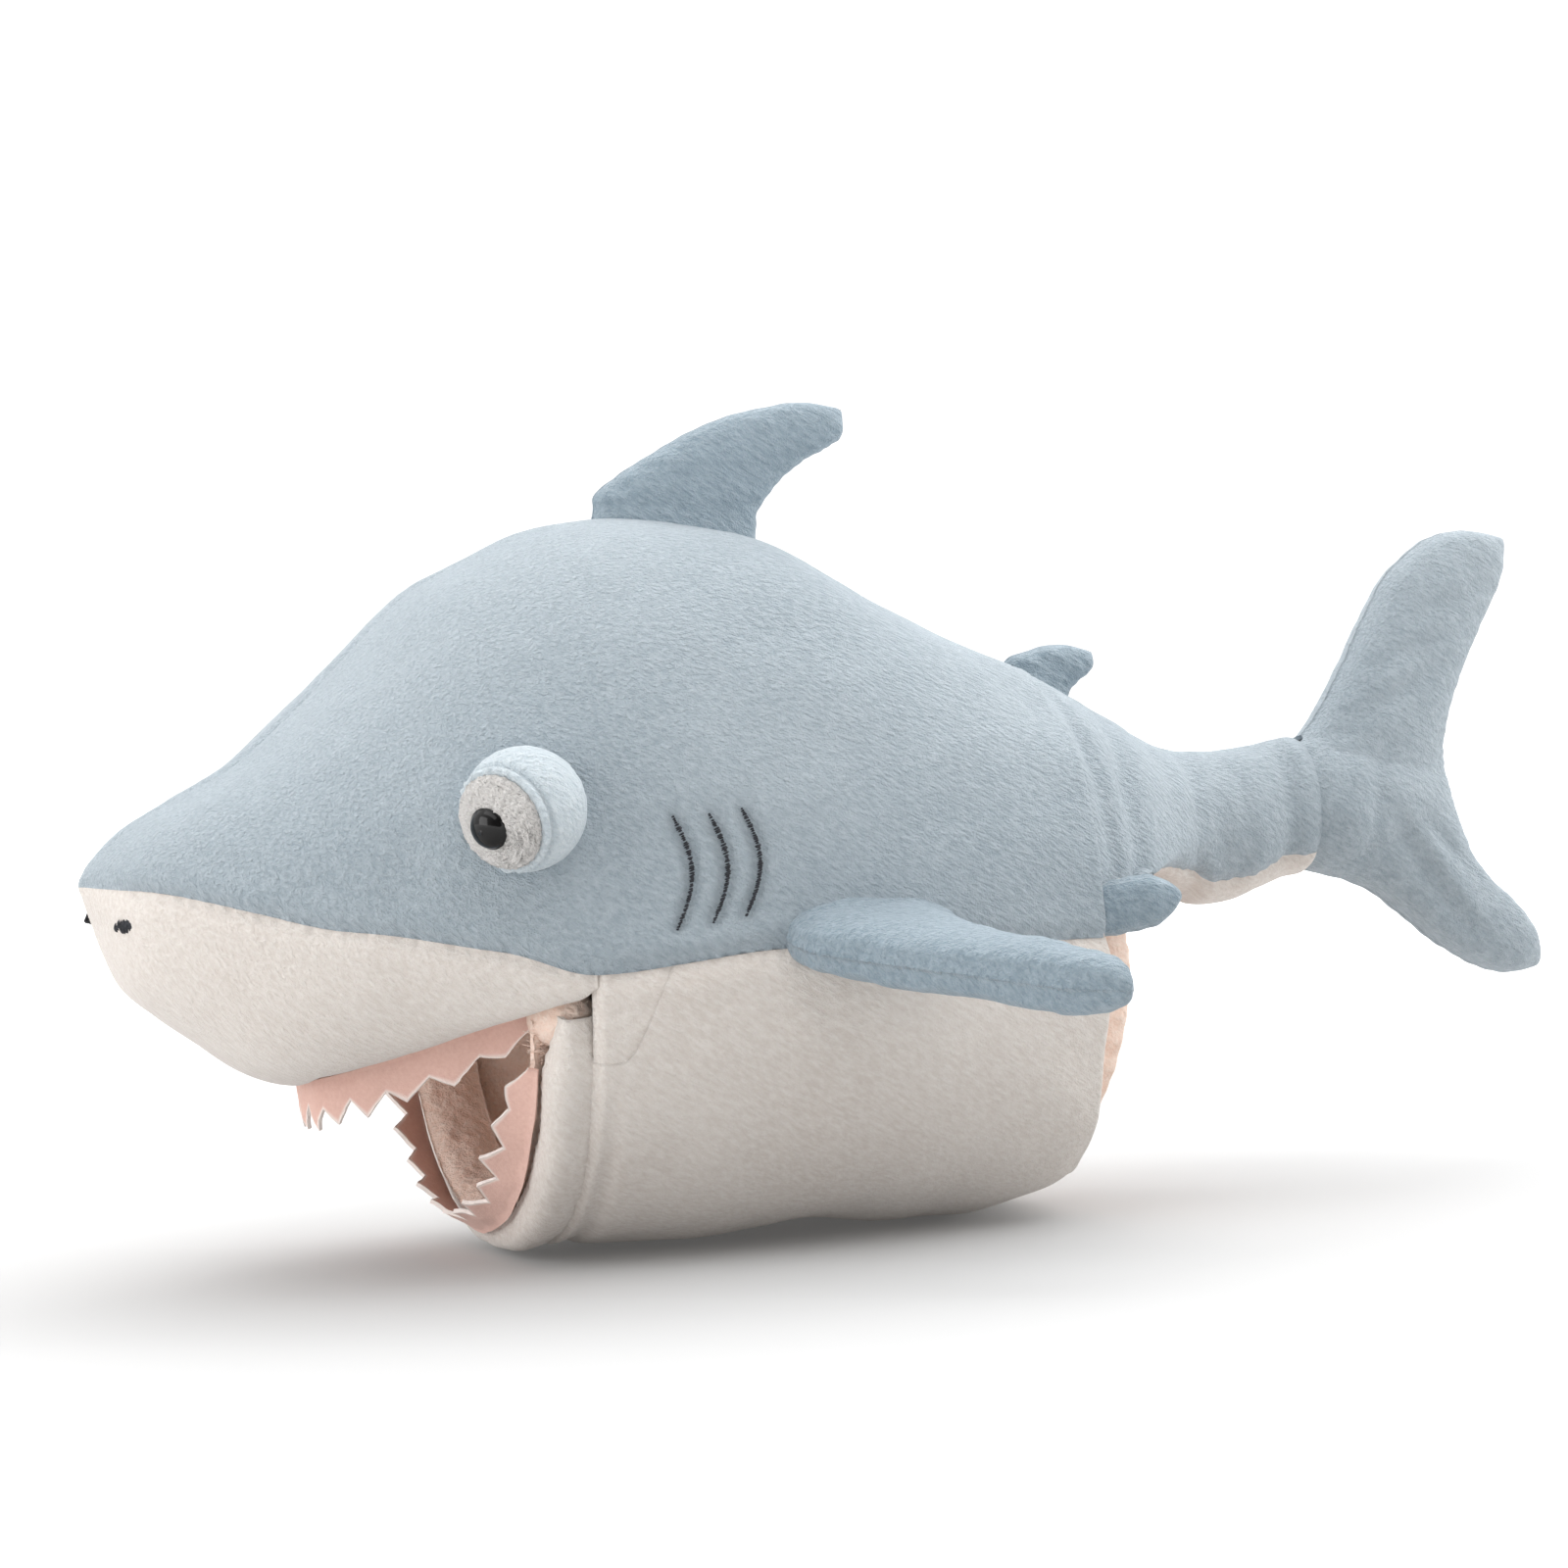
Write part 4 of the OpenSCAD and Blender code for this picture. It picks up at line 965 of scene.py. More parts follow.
# %% Sew the tail stalk
TAIL_TOP = [[52, 149.6], [57, 149.0], [62, 147.4], [75, 141], [90, 132], [105, 123], [114, 120.4],
    [118, 119.8], [129.1, 119.4], [138, 120.3], [146, 121.6], [156, 122.3]]
TAIL_LOW = [[52, 97], [57, 96.6], [62, 96], [75, 93.5], [90, 89.5], [105, 84.5], [114, 79.2], [118, 77.2],
    [129.1, 77.4], [138, 80.5], [146, 83], [156, 83.8]]
TAIL_SEAM = [[52, 76], [57, 77.3], [62, 79], [75, 85], [90, 91], [105, 95.6], [118, 98.4], [129.1, 98.4],
    [138, 100.4], [146, 102.3], [156, 103]]
TAIL_HALF_WIDTH = [[52, 65], [57, 64], [62, 62], [75, 54], [90, 43], [105, 30], [114, 23.6], [118, 21.8],
    [129.1, 21.5], [138, 19], [146, 17.3], [156, 17.4]]
TAIL_FOLDS = [(67, 8, 1.3, 2.6, 0.7), (84, -7, 1.5, 3.4, 0.8), (99, 5, 0.5, 3.4, 0.6),
    (113, -6, 1.3, 3.0, 0.75), (125, 4, 0.5, 3.0, 0.9), (144, -4, 1.5, 3.0, 0.75)]


def tail_cloth(name, upper, finish):
    """A half of the stalk, top or underside: ellipse sections that fill out towards the back's own
    section near the hem. Each fold is a bell along the stalk, slanted, and strongest at one height."""
    x, share = np.meshgrid(np.linspace(54, 156, 176), edge_crowd(100, 0.4), indexing="ij")
    lower = 44 * ease(60, 92, x)
    angle = -lower + (180 + 2 * lower) * share if upper else 180 + lower + (180 - 2 * lower) * share
    c, s = np.cos(np.radians(angle)), np.sin(np.radians(angle))
    middle = design_curve(TAIL_SEAM, x)
    z = middle + np.where(s >= 0, design_curve(TAIL_TOP, x) - middle, middle - design_curve(TAIL_LOW, x)) * s
    fuller = 1 + 0.10 * ease(0.25, 0.8, s) * (1 - ease(60, 88, x))
    grid = np.stack([x, design_curve(TAIL_HALF_WIDTH, x) * c * fuller, z], -1)
    core = np.stack([x, 0 * x, 0 * x + (101.0 if upper else 125.0)], -1)
    normal = grid_normals(grid, core)
    across, run = along(grid, 1), along(grid, 0)
    width = across[:, -1:]
    side = np.abs(c)
    push = seam_dip(np.minimum(across, width - across), run[:, :1], 1.0, 1.8) + filling(grid, 71, 0.5)
    for place, slant, depth, wide, height in TAIL_FOLDS:
        spot = x - place - slant * (side - 0.5)
        fold = 0.45 * hill(spot, wide * 1.9, wide * 1.2) - hill(spot, 0, wide)
        push = push + depth * hill(side, height, 0.42) * fold
    push = push * (1 - ease(148, 153, x)) - 2.4 * ease(150, 156, x)
    grid = grid + push[..., None] * normal
    rolled = turned_hem(grid, normal, 1.2, 3)
    return sew(name, np.concatenate([grid, rolled]), finish, core[0, 0] + np.array([46.0, 0, 0]))


bend(tail_cloth("tail_stalk_back_cloth", True, blue_velour),
     ["rump_back", "rump_stuffing", "tail_stalk_back", "tail_stalk_stuffing"])
bend(tail_cloth("tail_stalk_underside_cloth", False, white_velour),
     ["rump_underside", "tail_stalk_underside"])
print("tail stalk sewn")

# %% [markdown]
# ## Fins
# A fin is two matching pieces of velour sewn round the edge, turned and filled. Seen from the
# side it is drawn by two lines, a leading and a trailing edge. Seen end on it is a soft pillow.
# The seam pulls the edge in a little and puckers the cloth beside it. Each half is one grid from
# the leading to the trailing edge, so that the seam is where the halves truly meet.

# %% Fin maker


def resample(points, count):
    """More points on the smooth curve through a short list of points, evenly by number."""
    points = np.asarray(points, float)
    number = np.arange(len(points))
    at = np.linspace(0, len(points) - 1, count)
    return np.stack([design_curve(np.stack([number, column], -1), at) for column in points.T], -1)


def end_round(distance, reach):
    """The quarter-circle by which a fin's tip rounds off: the root of one minus the square of what is left."""
    return np.sqrt(np.maximum(1 - (1 - np.clip(distance / reach, 0, 1)) ** 2, 0))


def fin_half(lead, trail, thick, side, count, seed, tips=(False, True), plump=2.4, floor=None, tip_reach=7.0,
    sink=0.9):
    """One half of a fin, in its own plane, as (along, thickness, up). Across the fin the thickness is
    the root of one minus a power of the distance from the middle."""
    lead, trail = resample(lead, count), resample(trail, count)
    half = resample(np.asarray(thick, float)[:, None], count)[:, :1]
    share = edge_crowd(46, 0.75)[None, :]
    middle = (lead + trail) / 2
    run = np.concatenate([[0], np.cumsum(np.linalg.norm(np.diff(middle, axis=0), axis=1))])[:, None]
    shrink = np.ones_like(run)
    if tips[0]:
        shrink = shrink * end_round(run, tip_reach)
    if tips[1]:
        shrink = shrink * end_round(run[-1] - run, tip_reach)
    chord = np.linalg.norm(trail - lead, axis=1)[:, None]
    near = np.minimum(share, 1 - share) * chord
    pucker = 1 + 0.12 * np.sin(TURN * run / 5.2 + 1) + 0.12 * np.sin(TURN * run / 13.0 + 2)
    pull = sink * pucker * hill(near, 0, 2.4) / np.maximum(chord, 1)
    across = 0.5 + (share - 0.5) * shrink * (1 - 2 * pull)
    flat = lead[:, None] + (trail - lead)[:, None] * across[..., None]
    plain = lead[:, None] + (trail - lead)[:, None] * (0.5 + (share - 0.5) * shrink)[..., None]
    body = np.sqrt(np.maximum(1 - np.abs(2 * share - 1) ** plump, 0)) * half * shrink
    if floor is not None:
        body = np.maximum(body, floor(plain))
    u, v = flat[..., 0], flat[..., 1]
    lumps = 0.5 * wander(u, v, seed, 34) + 0.22 * wander(u, v, seed + 5, 12)
    puckers = 0.2 * np.sin(TURN * run / 7.3 + 3 * np.sin(run / 11.0) + seed) * hill(near, 4.5, 3.5)
    body = np.maximum(body + (lumps + puckers) * np.minimum(body / 3.0, 1) * shrink, 0)
    body = body * (1 - 0.12 * hill(near, 0, 1.5))
    return np.stack([flat[..., 0], side * body, flat[..., 1]], -1)


def fin_cloth(name, half, place, finish, push=None):
    """Places a half in space and gives it its cloth thickness."""
    grid = place(half)
    flat = half.copy()
    flat[..., 1] = -np.sign(half[..., 1].sum()) * 6
    core = place(flat)
    if push is not None:
        grid = grid + push(grid)[..., None] * grid_normals(grid, core)
    return sew(name, grid, finish, core, thick=1.2)


def upright(half):
    """A fin in the body's own middle plane: along is x and up is z."""
    return half


# %% [markdown]
# ## The tail fin
# The tail fin's grid runs from the upper tip round the front of its root to the lower tip. Its
# root is a ball that sits in the stalk's end. Folds are pressed in at the root of each lobe.

# %% Sew the tail fin
FIN_ROOT = [159.3, 18.0, 20.2, 103.0]


def root_edge(angle):
    """A point on the front of the ball-shaped root."""
    return [FIN_ROOT[0] + FIN_ROOT[1] * math.cos(math.radians(angle)),
        FIN_ROOT[3] + FIN_ROOT[2] * math.sin(math.radians(angle))]


TAIL_LEAD = [[219.5, 178], [208, 178.8], [195, 175.4], [183, 166.5], [174.5, 153.5], [168, 142],
    [161.5, 131.5]] + [root_edge(a) for a in (107, 130, 155, 180, 205, 230, 253)] + [
    [165, 80.5], [175, 75.5], [184.7, 67.7], [194.5, 59.8], [205, 53.4], [215, 49.4], [223, 48.2]]
TAIL_TRAIL = [[223.6, 171], [221, 163.5], [215.5, 154], [211, 146], [206.5, 138], [202.8, 130], [200.8, 124],
    [199.9, 120], [199.5, 117.5], [199.4, 115], [199.4, 112.5], [199.6, 110], [200, 107.5], [200.6, 105],
    [201.5, 101], [203, 95], [205.6, 88], [210.5, 81], [218.5, 73.5], [226, 64.7], [230.4, 57]]
TAIL_THICK = [6.5, 8, 9.3, 10.5, 11.5, 12.2, 12.8, 13.2, 13.4, 13.5, 13.5, 13.5, 13.4, 13.2, 12.8, 12, 11.4,
    10.8, 10, 9, 7]


def root_ball(flat):
    """The root's own half thickness: a ball in front of its middle, drawn out behind it."""
    ahead = flat[..., 0] - FIN_ROOT[0]
    reach = np.where(ahead < 0, FIN_ROOT[1], 42.0)
    left = 1 - ((flat[..., 1] - FIN_ROOT[3]) / FIN_ROOT[2]) ** 2 - (ahead / reach) ** 2
    return FIN_ROOT[1] * np.sqrt(np.maximum(left, 0))


LOBE_FOLDS = (
    (186, 84, -0.95, 1.9, 2.6, 17), (193, 90, -0.8, 1.0, 2.4, 12), (182, 134, 0.5, 1.3, 2.6, 14),
    (190, 146, 0.35, 1.0, 2.6, 12), (200, 158, 0.3, 0.9, 2.4, 11), (170, 103, 1.45, 1.1, 3.0, 14),
    (196, 70, -0.7, 0.9, 2.4, 11), (176, 118, 0.9, 0.9, 2.6, 12))


def tail_folds(grid):
    """Creases at the roots of the two lobes, and shallow ones up the upper lobe."""
    x, z = grid[..., 0], grid[..., 2]
    folds = 0.0
    for at_x, at_z, turn, deep, wide, long in LOBE_FOLDS:
        run = (x - at_x) * math.cos(turn) + (z - at_z) * math.sin(turn)
        off = -(x - at_x) * math.sin(turn) + (z - at_z) * math.cos(turn)
        folds = folds + deep * hill(run, 0, long) * (0.4 * hill(off, wide * 2, wide * 1.3) - hill(off, 0, wide))
    return folds


def tail_half(name, side, seed, nodes):
    """One half of the tail fin, which is sewn to the stalk."""
    half = fin_half(TAIL_LEAD, TAIL_TRAIL, TAIL_THICK, side, 230, seed, tips=(True, True), floor=root_ball,
        tip_reach=14.0)
    return bend(fin_cloth(name, half, upright, blue_velour, tail_folds), nodes)


tail_left = tail_half("tail_fin_left_cloth", -1, 81, ["tail_fin_left", "tail_fin_stuffing"])
tail_half("tail_fin_right_cloth", 1, 82, ["tail_fin_right"])
print("tail fin sewn:", len(tail_left.data.polygons), "faces each half")

# %% [markdown]
# ## The fins on the back and the sides
# The tall back fin, the small one behind it, the two side fins and the two little ones by the hem
# are all pillows. Each moving fin has extra rows that go into the body, so that it stays sewn on
# when it leans.

# %% Sew the back fins
LEAN_A, LEAN_B, LEAN_DOWN = np.array([-49.6, 199.5]), np.array([-2.6, 191.9]), np.array([-0.16, -0.987])
ROOT_STEPS = (12, 8.5, 5, 1.5)
DORSAL_LEAD = [list(LEAN_A + LEAN_DOWN * d) for d in ROOT_STEPS] + [[-44, 202], [-38, 205.6], [-30, 209.8],
    [-20, 214.6], [-9, 218], [2, 220], [11, 220.9], [18.6, 220.6]]
DORSAL_TRAIL = [list(LEAN_B + LEAN_DOWN * d) for d in ROOT_STEPS] + [[0, 194.8], [3, 198], [7, 201.5],
    [12, 204.6], [16.5, 206.6], [20.2, 208.4], [23, 210.8], [24.4, 214.8]]
DORSAL_THICK = [9.5, 7.6, 6.8, 6.5, 6.5, 6.4, 6.3, 6.2, 6.0, 5.7, 5.2, 4.6]
REAR_LEAD = [[63.5, 144], [66, 148.6], [70, 150], [76, 151.6], [83, 152.2], [89, 151.2]]
REAR_TRAIL = [[83, 133.5], [85.5, 138.2], [87.5, 140], [90.2, 141.8], [93, 143.8], [94.2, 146.5]]
REAR_THICK = [7, 6.2, 6, 6, 5.5, 4.2]

for side, label, seed in ((-1, "left", 91), (1, "right", 92)):
    half = fin_half(DORSAL_LEAD, DORSAL_TRAIL, DORSAL_THICK, side, 110, seed, tip_reach=9.0)
    bend(fin_cloth(f"dorsal_fin_{label}_cloth", half, upright, shaded_fin_velour),
         [f"dorsal_fin_{label}"] + (["dorsal_fin_stuffing"] if side < 0 else []))
    half = fin_half(REAR_LEAD, REAR_TRAIL, REAR_THICK, side, 60, seed + 4, tip_reach=8.0)
    settle(fin_cloth(f"rear_dorsal_{label}_cloth", half, upright, shaded_fin_velour), "body",
           [f"rear_dorsal_{label}"] + (["rear_dorsal_stuffing"] if side < 0 else []))
print("back fins sewn")

# %% Sew the side fins
PECTORAL_LEAD = [[-31, -13], [-31, -8], [-31, -4], [-30, 0.5], [-26, 6], [-18, 14], [-8, 23], [3, 33],
    [14, 43], [23, 50], [31, 54.5]]
PECTORAL_TRAIL = [[18, -13], [18, -8], [18, -4], [18.6, 0.5], [20, 7], [24, 14], [29, 22], [34, 30.5],
    [38.5, 39], [41.5, 46], [43, 51.5]]
PECTORAL_THICK = [9.5, 8.6, 8.2, 8, 8, 8, 8, 8, 7.9, 7.4, 6.4]
PECTORAL_Y, PECTORAL_Z, PECTORAL_TURN = 85.0, 79.5, math.radians(103)
PELVIC_LEAD = [[-10, 7.4], [-5, 7.9], [0, 8.2], [5, 8.1], [10, 7.4], [14, 6.2], [16.5, 5]]
PELVIC_TRAIL = [[-10, -7.4], [-5, -7.9], [0, -8.2], [5, -8.1], [10, -7.4], [14, -6.2], [16.5, -5]]
PELVIC_THICK = [5, 5, 5, 5, 4.9, 4.6, 4.2]
PELVIC_X, PELVIC_Y, PELVIC_Z = 67.2, 65.4, 83


def pectoral_place(side):
    """Lays a side fin out: turned about its hinge line so that it points sideways and droops."""
    def place(half):
        x, h, up = half[..., 0], half[..., 1], half[..., 2]
        c, s = math.cos(PECTORAL_TURN), math.sin(PECTORAL_TURN)
        return np.stack([x, side * (PECTORAL_Y + up * s - h * c), PECTORAL_Z + h * s + up * c], -1)
    return place


def pelvic_place(side):
    """Stands a little fin up behind the hem: tipped back 8 degrees and turned out 18."""
    def place(half):
        x, h, up = half[..., 0], half[..., 1], half[..., 2]
        tip, out = math.radians(-8), math.radians(18) * side
        ahead, high = x * math.cos(tip) + up * math.sin(tip), -x * math.sin(tip) + up * math.cos(tip)
        x = PELVIC_X + ahead * math.cos(out) - h * math.sin(out)
        y = side * PELVIC_Y + ahead * math.sin(out) + h * math.cos(out)
        return np.stack([x, y, PELVIC_Z + high], -1)
    return place


for side, label, seed in ((-1, "left", 95), (1, "right", 98)):
    for half_side, face in ((1, "top"), (-1, "under")):
        half = fin_half(PECTORAL_LEAD, PECTORAL_TRAIL, PECTORAL_THICK, half_side, 120, seed + half_side,
                        tip_reach=11.0, sink=2.3)
        bend(fin_cloth(f"pectoral_{label}_{face}_cloth", half, pectoral_place(side), shaded_fin_velour),
             [f"pectoral_{label}_{face}"] + ([f"pectoral_{label}_stuffing"] if face == "top" else []))
    for half_side, face in ((side, "outer"), (-side, "inner")):
        half = fin_half(PELVIC_LEAD, PELVIC_TRAIL, PELVIC_THICK, half_side, 60, seed + 20, tip_reach=9.0)
        bend(fin_cloth(f"pelvic_{label}_{face}_cloth", half, pelvic_place(side), shaded_fin_velour),
             [f"pelvic_{label}_{face}"])
print("side fins sewn")

# %% [markdown]
# ## Eyes
# Each eye is a stuffed ball. A pale blue cover wraps it from behind like a lid, with a lumpy seam
# where it meets the fluffy white front, and a black button is set in the middle, looking forward
# and a little down. All three are surfaces turned about the line of sight.

# %% Make the eyes
EYE_AT, EYE_LOOK, EYE_RADIUS = (-93.8, 69.8, 118.6), (-0.80, 0.52, -0.28), 15.5


def look_frame(side):
    """The eye's middle, its line of sight, and two directions square to it."""
    look = np.array(EYE_LOOK) * [1, side, 1]
    look = look / np.linalg.norm(look)
    level = np.cross([0, 0, 1], look)
    level = level / np.linalg.norm(level)
    return np.array(EYE_AT) * [1, side, 1], look, level, np.cross(look, level)


def turned(side, around, out, ahead):
    """A surface turned about the line of sight: out is the distance from it, ahead the distance along it."""
    middle, look, level, up = look_frame(side)
    ring = np.cos(around)[..., None] * level + np.sin(around)[..., None] * up
    return middle + ahead[..., None] * look + out[..., None] * ring


def eye_part(name, side, angles, radius, finish, thick):
    """Part of the ball, between two angles from the line of sight; radius is a function of angle and turn."""
    angle, around = np.meshgrid(np.radians(angles), np.linspace(0, 2 * np.pi, 145), indexing="ij")
    r = radius(np.degrees(angle), np.degrees(around))
    r[:, -1] = r[:, 0]
    return sew(name, turned(side, around, r * np.sin(angle), r * np.cos(angle)), finish, look_frame(side)[0],
        thick=thick)


def cover_radius(angle, around):
    """The lid: round, rolled under at its edge, with a lumpy seam behind the edge."""
    lumps = 0.5 + 0.5 * np.sin(np.radians(around) * 23 + 2.2 * np.sin(np.radians(around) * 5))
    seam = EYE_RADIUS + 0.1 + 0.75 * lumps * hill(angle, 58.5, 2.6) - 0.95 * hill(angle, 65, 2.4)
    return seam - 1.9 * (1 - ease(52, 56.5, angle)) + 0.12 * wander(angle, around, 103, 30)


def white_radius(angle, around):
    """The front: fluffy, drawn in at the button and swelling against the lid."""
    run = around * np.sin(np.radians(angle))
    waves = wander(angle * 1.4, run, 104, 9) + 0.7 * wander(angle, run, 105, 4)
    swell = EYE_RADIUS - 0.3 + 0.4 * waves * ease(2, 20, angle) + 0.7 * hill(angle, 42, 11)
    return swell - 0.7 * (1 - ease(12, 26, angle)) - 1.5 * ease(50, 60, angle)


BUTTON_OUT = np.array([0.02, 1.0, 2.2, 3.3, 4.2, 4.8, 5.0, 5.15, 5.35, 5.4, 5.2, 4.6])
BUTTON_AHEAD = np.array([17.75, 17.7, 17.5, 17.1, 16.45, 15.7, 15.1, 14.95, 14.85, 14.5, 14.1, 13.9])

for side, label in ((-1, "left"), (1, "right")):
    settle(eye_part(f"eye_cover_{label}_cloth", side, np.linspace(50, 152, 80), cover_radius, lid_velour, 1.2),
        "body", [f"eye_cover_{label}"])
    settle(eye_part(f"eye_white_{label}_cloth", side, np.linspace(0.2, 60, 70), white_radius, eye_velour, 1.2),
        "body", [f"eye_white_{label}"])
    ring, around = np.meshgrid(np.arange(len(BUTTON_OUT)), np.linspace(0, 2 * np.pi, 65), indexing="ij")
    middle, look = look_frame(side)[:2]
    button = sew(f"pupil_{label}_button", turned(side, around, BUTTON_OUT[ring], BUTTON_AHEAD[ring] - 0.4),
                 button_black, middle + 11 * look, thick=0.8)
    settle(button, "body", [f"pupil_{label}"])
print("eyes made")

# %% [markdown]
# ## Embroidery and loose fibres
# Gills and nostrils are satin stitch: short threads laid side by side across a line, each one a
# little arch that dives into the cloth at both ends. Their lengths vary, so the edges are ragged.
# The same arches, thinner and longer, make the frayed fleece at the corners of the mouth.

# %% Thread maker


def lay_threads(name, start, end, out, bow, radius, finish, segments=7, sides=6):
    """Many threads in one piece: each is a tube from start to end that bows outwards by a half sine
    and closes to a point at both ends."""
    start, end, out = (np.asarray(a, float) for a in (start, end, out))
    count = len(start)
    u = np.linspace(0, 1, segments + 1)[None, :, None]
    along_it = end - start
    bow = np.asarray(bow, float).reshape(-1, 1, 1)
    path = start[:, None] + along_it[:, None] * u + out[:, None] * bow * np.sin(np.pi * u)
    along_it = along_it / np.linalg.norm(along_it, axis=1, keepdims=True)
    across = np.cross(along_it, out)
    across = across / np.linalg.norm(across, axis=1, keepdims=True)
    lift = np.cross(across, along_it)
    turn = np.linspace(0, 2 * np.pi, sides + 1)[:-1]
    ring = across[:, None, None] * np.cos(turn)[:, None] + lift[:, None, None] * np.sin(turn)[:, None]
    size = radius * np.sqrt(np.maximum(1 - np.abs(2 * u - 1) ** 3, 0))
    points = path[:, :, None] + ring * size[:, :, :, None]
    i, j = np.meshgrid(np.arange(segments), np.arange(sides), indexing="ij")
    a, b = (i * sides + j).ravel(), (i * sides + (j + 1) % sides).ravel()
    one = np.stack([a, b, b + sides, a + sides], -1)
    faces = (one[None] + (np.arange(count) * (segments + 1) * sides)[:, None, None]).reshape(-1, 4)
    return make_mesh(name, points, faces, finish)


def side_width(x, z):
    """How far out the body's side is at a height: the rounded section turned round to give y."""
    low, high = design_curve(SEAM_LINE, x), design_curve(BACK_LINE, x)
    chin = np.where(x < MOUTH_X, design_curve(CHIN_LINE, x), design_curve(BELLY_LINE, x))
    above = z >= low
    power = np.where(above, UPPER_ROUND, LOWER_ROUND)
    share = np.clip(np.where(above, (z - low) / (high - low), (low - z) / (low - chin)), 0, 1)
    return design_curve(HALF_WIDTH, x) * np.maximum(1 - share**power, 0) ** (1 / power)


def side_out(x, z, side):
    """The direction out of the body's side."""
    slope_x = (side_width(x + 1, z) - side_width(x - 1, z)) / 2
    slope_z = (side_width(x, z + 1) - side_width(x, z - 1)) / 2
    out = np.stack([-slope_x, side + 0 * x, -slope_z], -1)
    return out / np.linalg.norm(out, axis=-1, keepdims=True)


# %% Stitch the gills, nostrils and frayed corners
for side, label in ((-1, "left"), (1, "right")):
    for number, (front, top, bottom) in enumerate(GILLS, 1):
        draw = np.random.default_rng(110 + number)
        z = np.linspace(top, bottom, 52) + draw.uniform(-0.15, 0.15, 52)
        x = gill_x(front, top, bottom, z)
        reach = 0.62 + draw.uniform(-0.2, 0.35, 52)
        reach = reach * np.minimum(1, 0.45 + 5 * np.minimum(z - bottom, top - z) / (top - bottom))
        middle = np.stack([x, side * side_width(x, z), z], -1)
        out = side_out(x, z, side)
        cross = np.stack([np.ones_like(x), 0 * x, 0.35 + draw.uniform(-0.15, 0.15, 52)], -1)
        cross = cross - np.sum(cross * out, -1, keepdims=True) * out
        gill = lay_threads(f"gill_stitch_{label}_{number}_thread", middle - reach[:, None] * cross - 0.9 * out,
            middle + reach[:, None] * cross - 0.9 * out, out, 0.95, 0.27, black_thread)
        settle(gill, "body", [f"gill_stitch_{label}_{number}"])
    draw = np.random.default_rng(120)
    out = np.array([-0.62, 0.74 * side, -0.26])
    out = out / np.linalg.norm(out)
    level = np.cross([0, 0, 1], out)
    level = level / np.linalg.norm(level)
    rise = np.cross(out, level)
    spot = np.linspace(-4.1, 4.1, 17)
    high = 1.7 * np.sqrt(np.maximum(1.05 - (spot / 4.3) ** 2, 0.05)) + draw.uniform(-0.2, 0.9, 17)
    shake = draw.uniform(-0.5, 0.5, 17)[:, None]
    middle = np.array([-183.3, 21.5 * side, 94.0]) + spot[:, None] * level + shake * rise + 0.4 * out
    nostril = lay_threads(f"nostril_stitch_{label}_thread", middle - high[:, None] * rise - 0.8 * out,
        middle + high[:, None] * rise - 0.8 * out, np.broadcast_to(out, (17, 3)), 1.0, 0.36, black_thread)
    settle(nostril, "body", [f"nostril_stitch_{label}"])

    draw = np.random.default_rng(130)
    count = 150
    z = draw.uniform(56, 69.5, count)
    start = np.stack([draw.uniform(-91, -79, count),
        side * (61.8 - 0.10 * (69.5 - z) + draw.uniform(-1.6, 0.6, count)), z], -1)
    way = np.stack([draw.uniform(-1.0, 0.1, count), -side * draw.uniform(0.2, 1.0, count),
        draw.uniform(-0.7, 0.6, count)], -1)
    way = way / np.linalg.norm(way, axis=1, keepdims=True)
    long = draw.uniform(2.0, 5.5, count)[:, None]
    fray = lay_threads(f"frayed_fleece_{label}", start, start + way * long,
        np.cross(way, draw.normal(size=(count, 3))), draw.uniform(0.2, 1.2, count), 0.13, peach_fleece,
        segments=6, sides=4)
    settle(fray, "body", [])
print("embroidery done")

# %% [markdown]
# ## Floor and light
# The toy lies on a wide pale floor in a white studio. Four soft lamps stand round it: a large one
# above, one behind and one at each end. The white surroundings do the rest, so that the top edges
# almost melt away while the belly stays gently shaded.

# %% Set the stage


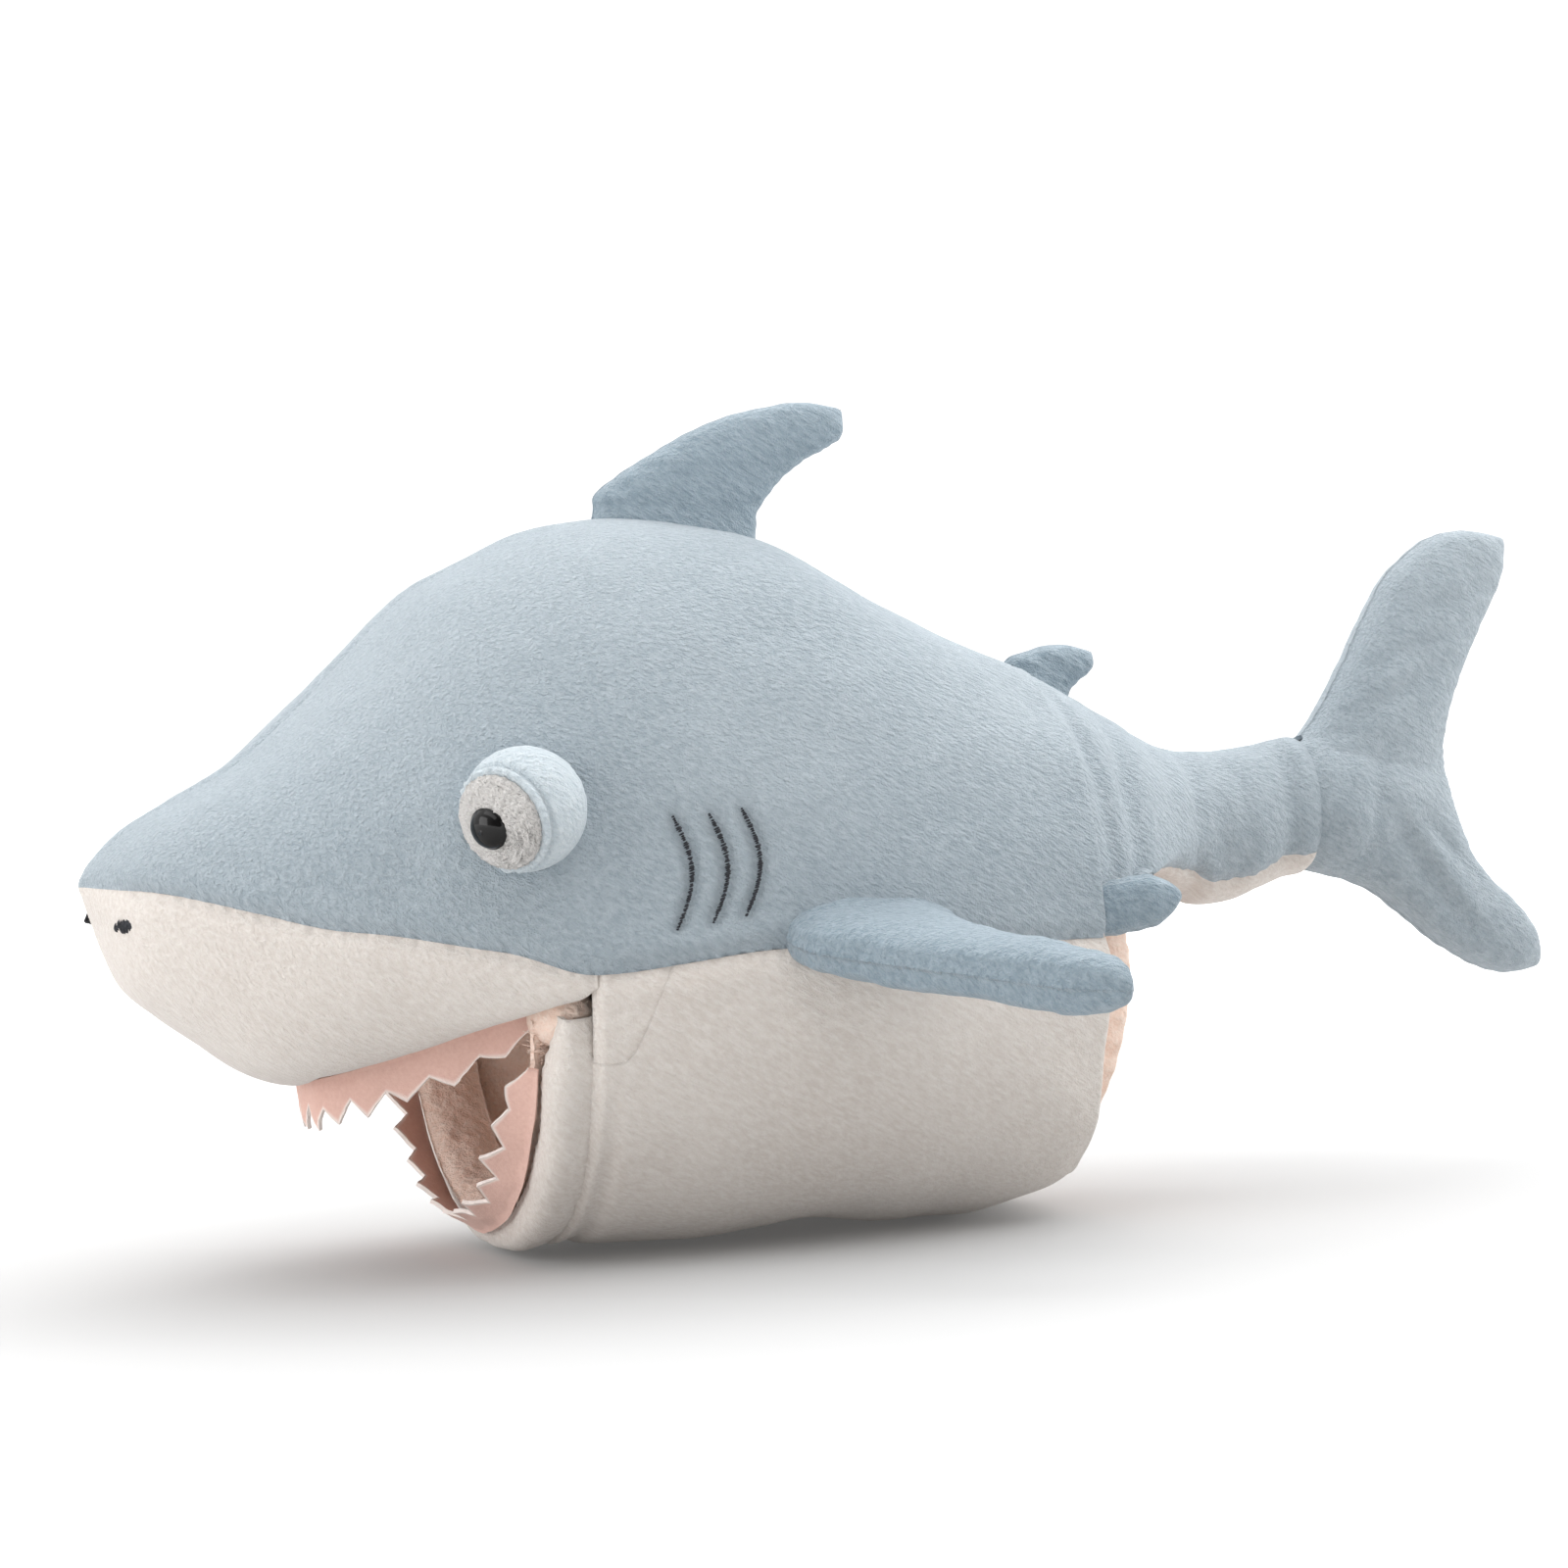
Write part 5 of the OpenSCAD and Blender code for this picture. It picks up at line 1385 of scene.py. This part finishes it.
def make_floor():
    """A wide disc: rings from the middle outwards, just under the belly. It glows as painted light, faintly
    under the toy and up to full strength far out, so that it melts into the white surroundings."""
    radius, around = np.meshgrid(np.array([0.1, 100.0, 400.0, 1200.0, 4000.0]), np.linspace(0, 2 * np.pi, 97),
        indexing="ij")
    grid = np.stack([radius * np.cos(around), radius * np.sin(around), 0 * radius - 0.4], -1)
    finish, tree, shader = new_finish("pale_floor", {
        "Base Color": colour(188, 188, 188), "Roughness": 0.9, "Specular IOR Level": 0.1,
        "Emission Color": (1, 1, 1, 1)})
    away = node(tree, "ShaderNodeVectorMath", {0: node(tree, "ShaderNodeTexCoord").outputs["Object"]},
        operation="LENGTH").outputs["Value"]
    tree.links.new(stretch(tree, away, 0.15, 1.2, 0.06, 1.0), shader.inputs["Emission Strength"])
    return make_mesh("studio_floor", grid, grid_quads(5, 97), finish)


floor = make_floor()


def soft_lamp(name, place, aim, size, power):
    """A square soft lamp that faces a point."""
    lamp = bpy.data.lights.new(name, "AREA")
    lamp.size, lamp.energy = size, power
    made = bpy.data.objects.new(name, lamp)
    back = np.array(place, float) - aim
    back = back / np.linalg.norm(back)
    right = np.cross([0, 0, 1], back)
    right = right / np.linalg.norm(right)
    pose = np.eye(4)
    pose[:3, 0], pose[:3, 1], pose[:3, 2], pose[:3, 3] = right, np.cross(back, right), back, place
    made.matrix_world = Matrix(pose.tolist())
    bpy.context.collection.objects.link(made)
    return made


soft_lamp("top_lamp", (0.15, -0.25, 1.6), (0, 0, 0.1), 2.2, 20)
soft_lamp("back_lamp", (0.5, 0.9, 1.2), (0, 0, 0.1), 1.4, 14)
soft_lamp("nose_lamp", (-1.3, -0.3, 0.45), (-0.1, 0, 0.1), 0.9, 6)
soft_lamp("tail_lamp", (1.3, -0.1, 0.7), (0.15, 0, 0.1), 1.0, 9)


def white_room():
    """White surroundings on every side but the viewer's, where the room is dim: strength rises with
    the direction's y."""
    world = bpy.data.worlds.new("white_studio")
    bpy.context.scene.world = world
    world.use_nodes = True
    tree = world.node_tree
    toward = node(tree, "ShaderNodeSeparateXYZ",
        {0: node(tree, "ShaderNodeTexCoord").outputs["Generated"]}).outputs["Y"]
    tree.links.new(stretch(tree, toward, -0.9, 0.0, 0.18, 1.15), tree.nodes["Background"].inputs["Strength"])
    tree.nodes["Background"].inputs["Color"].default_value = (1, 1, 1, 1)


white_room()
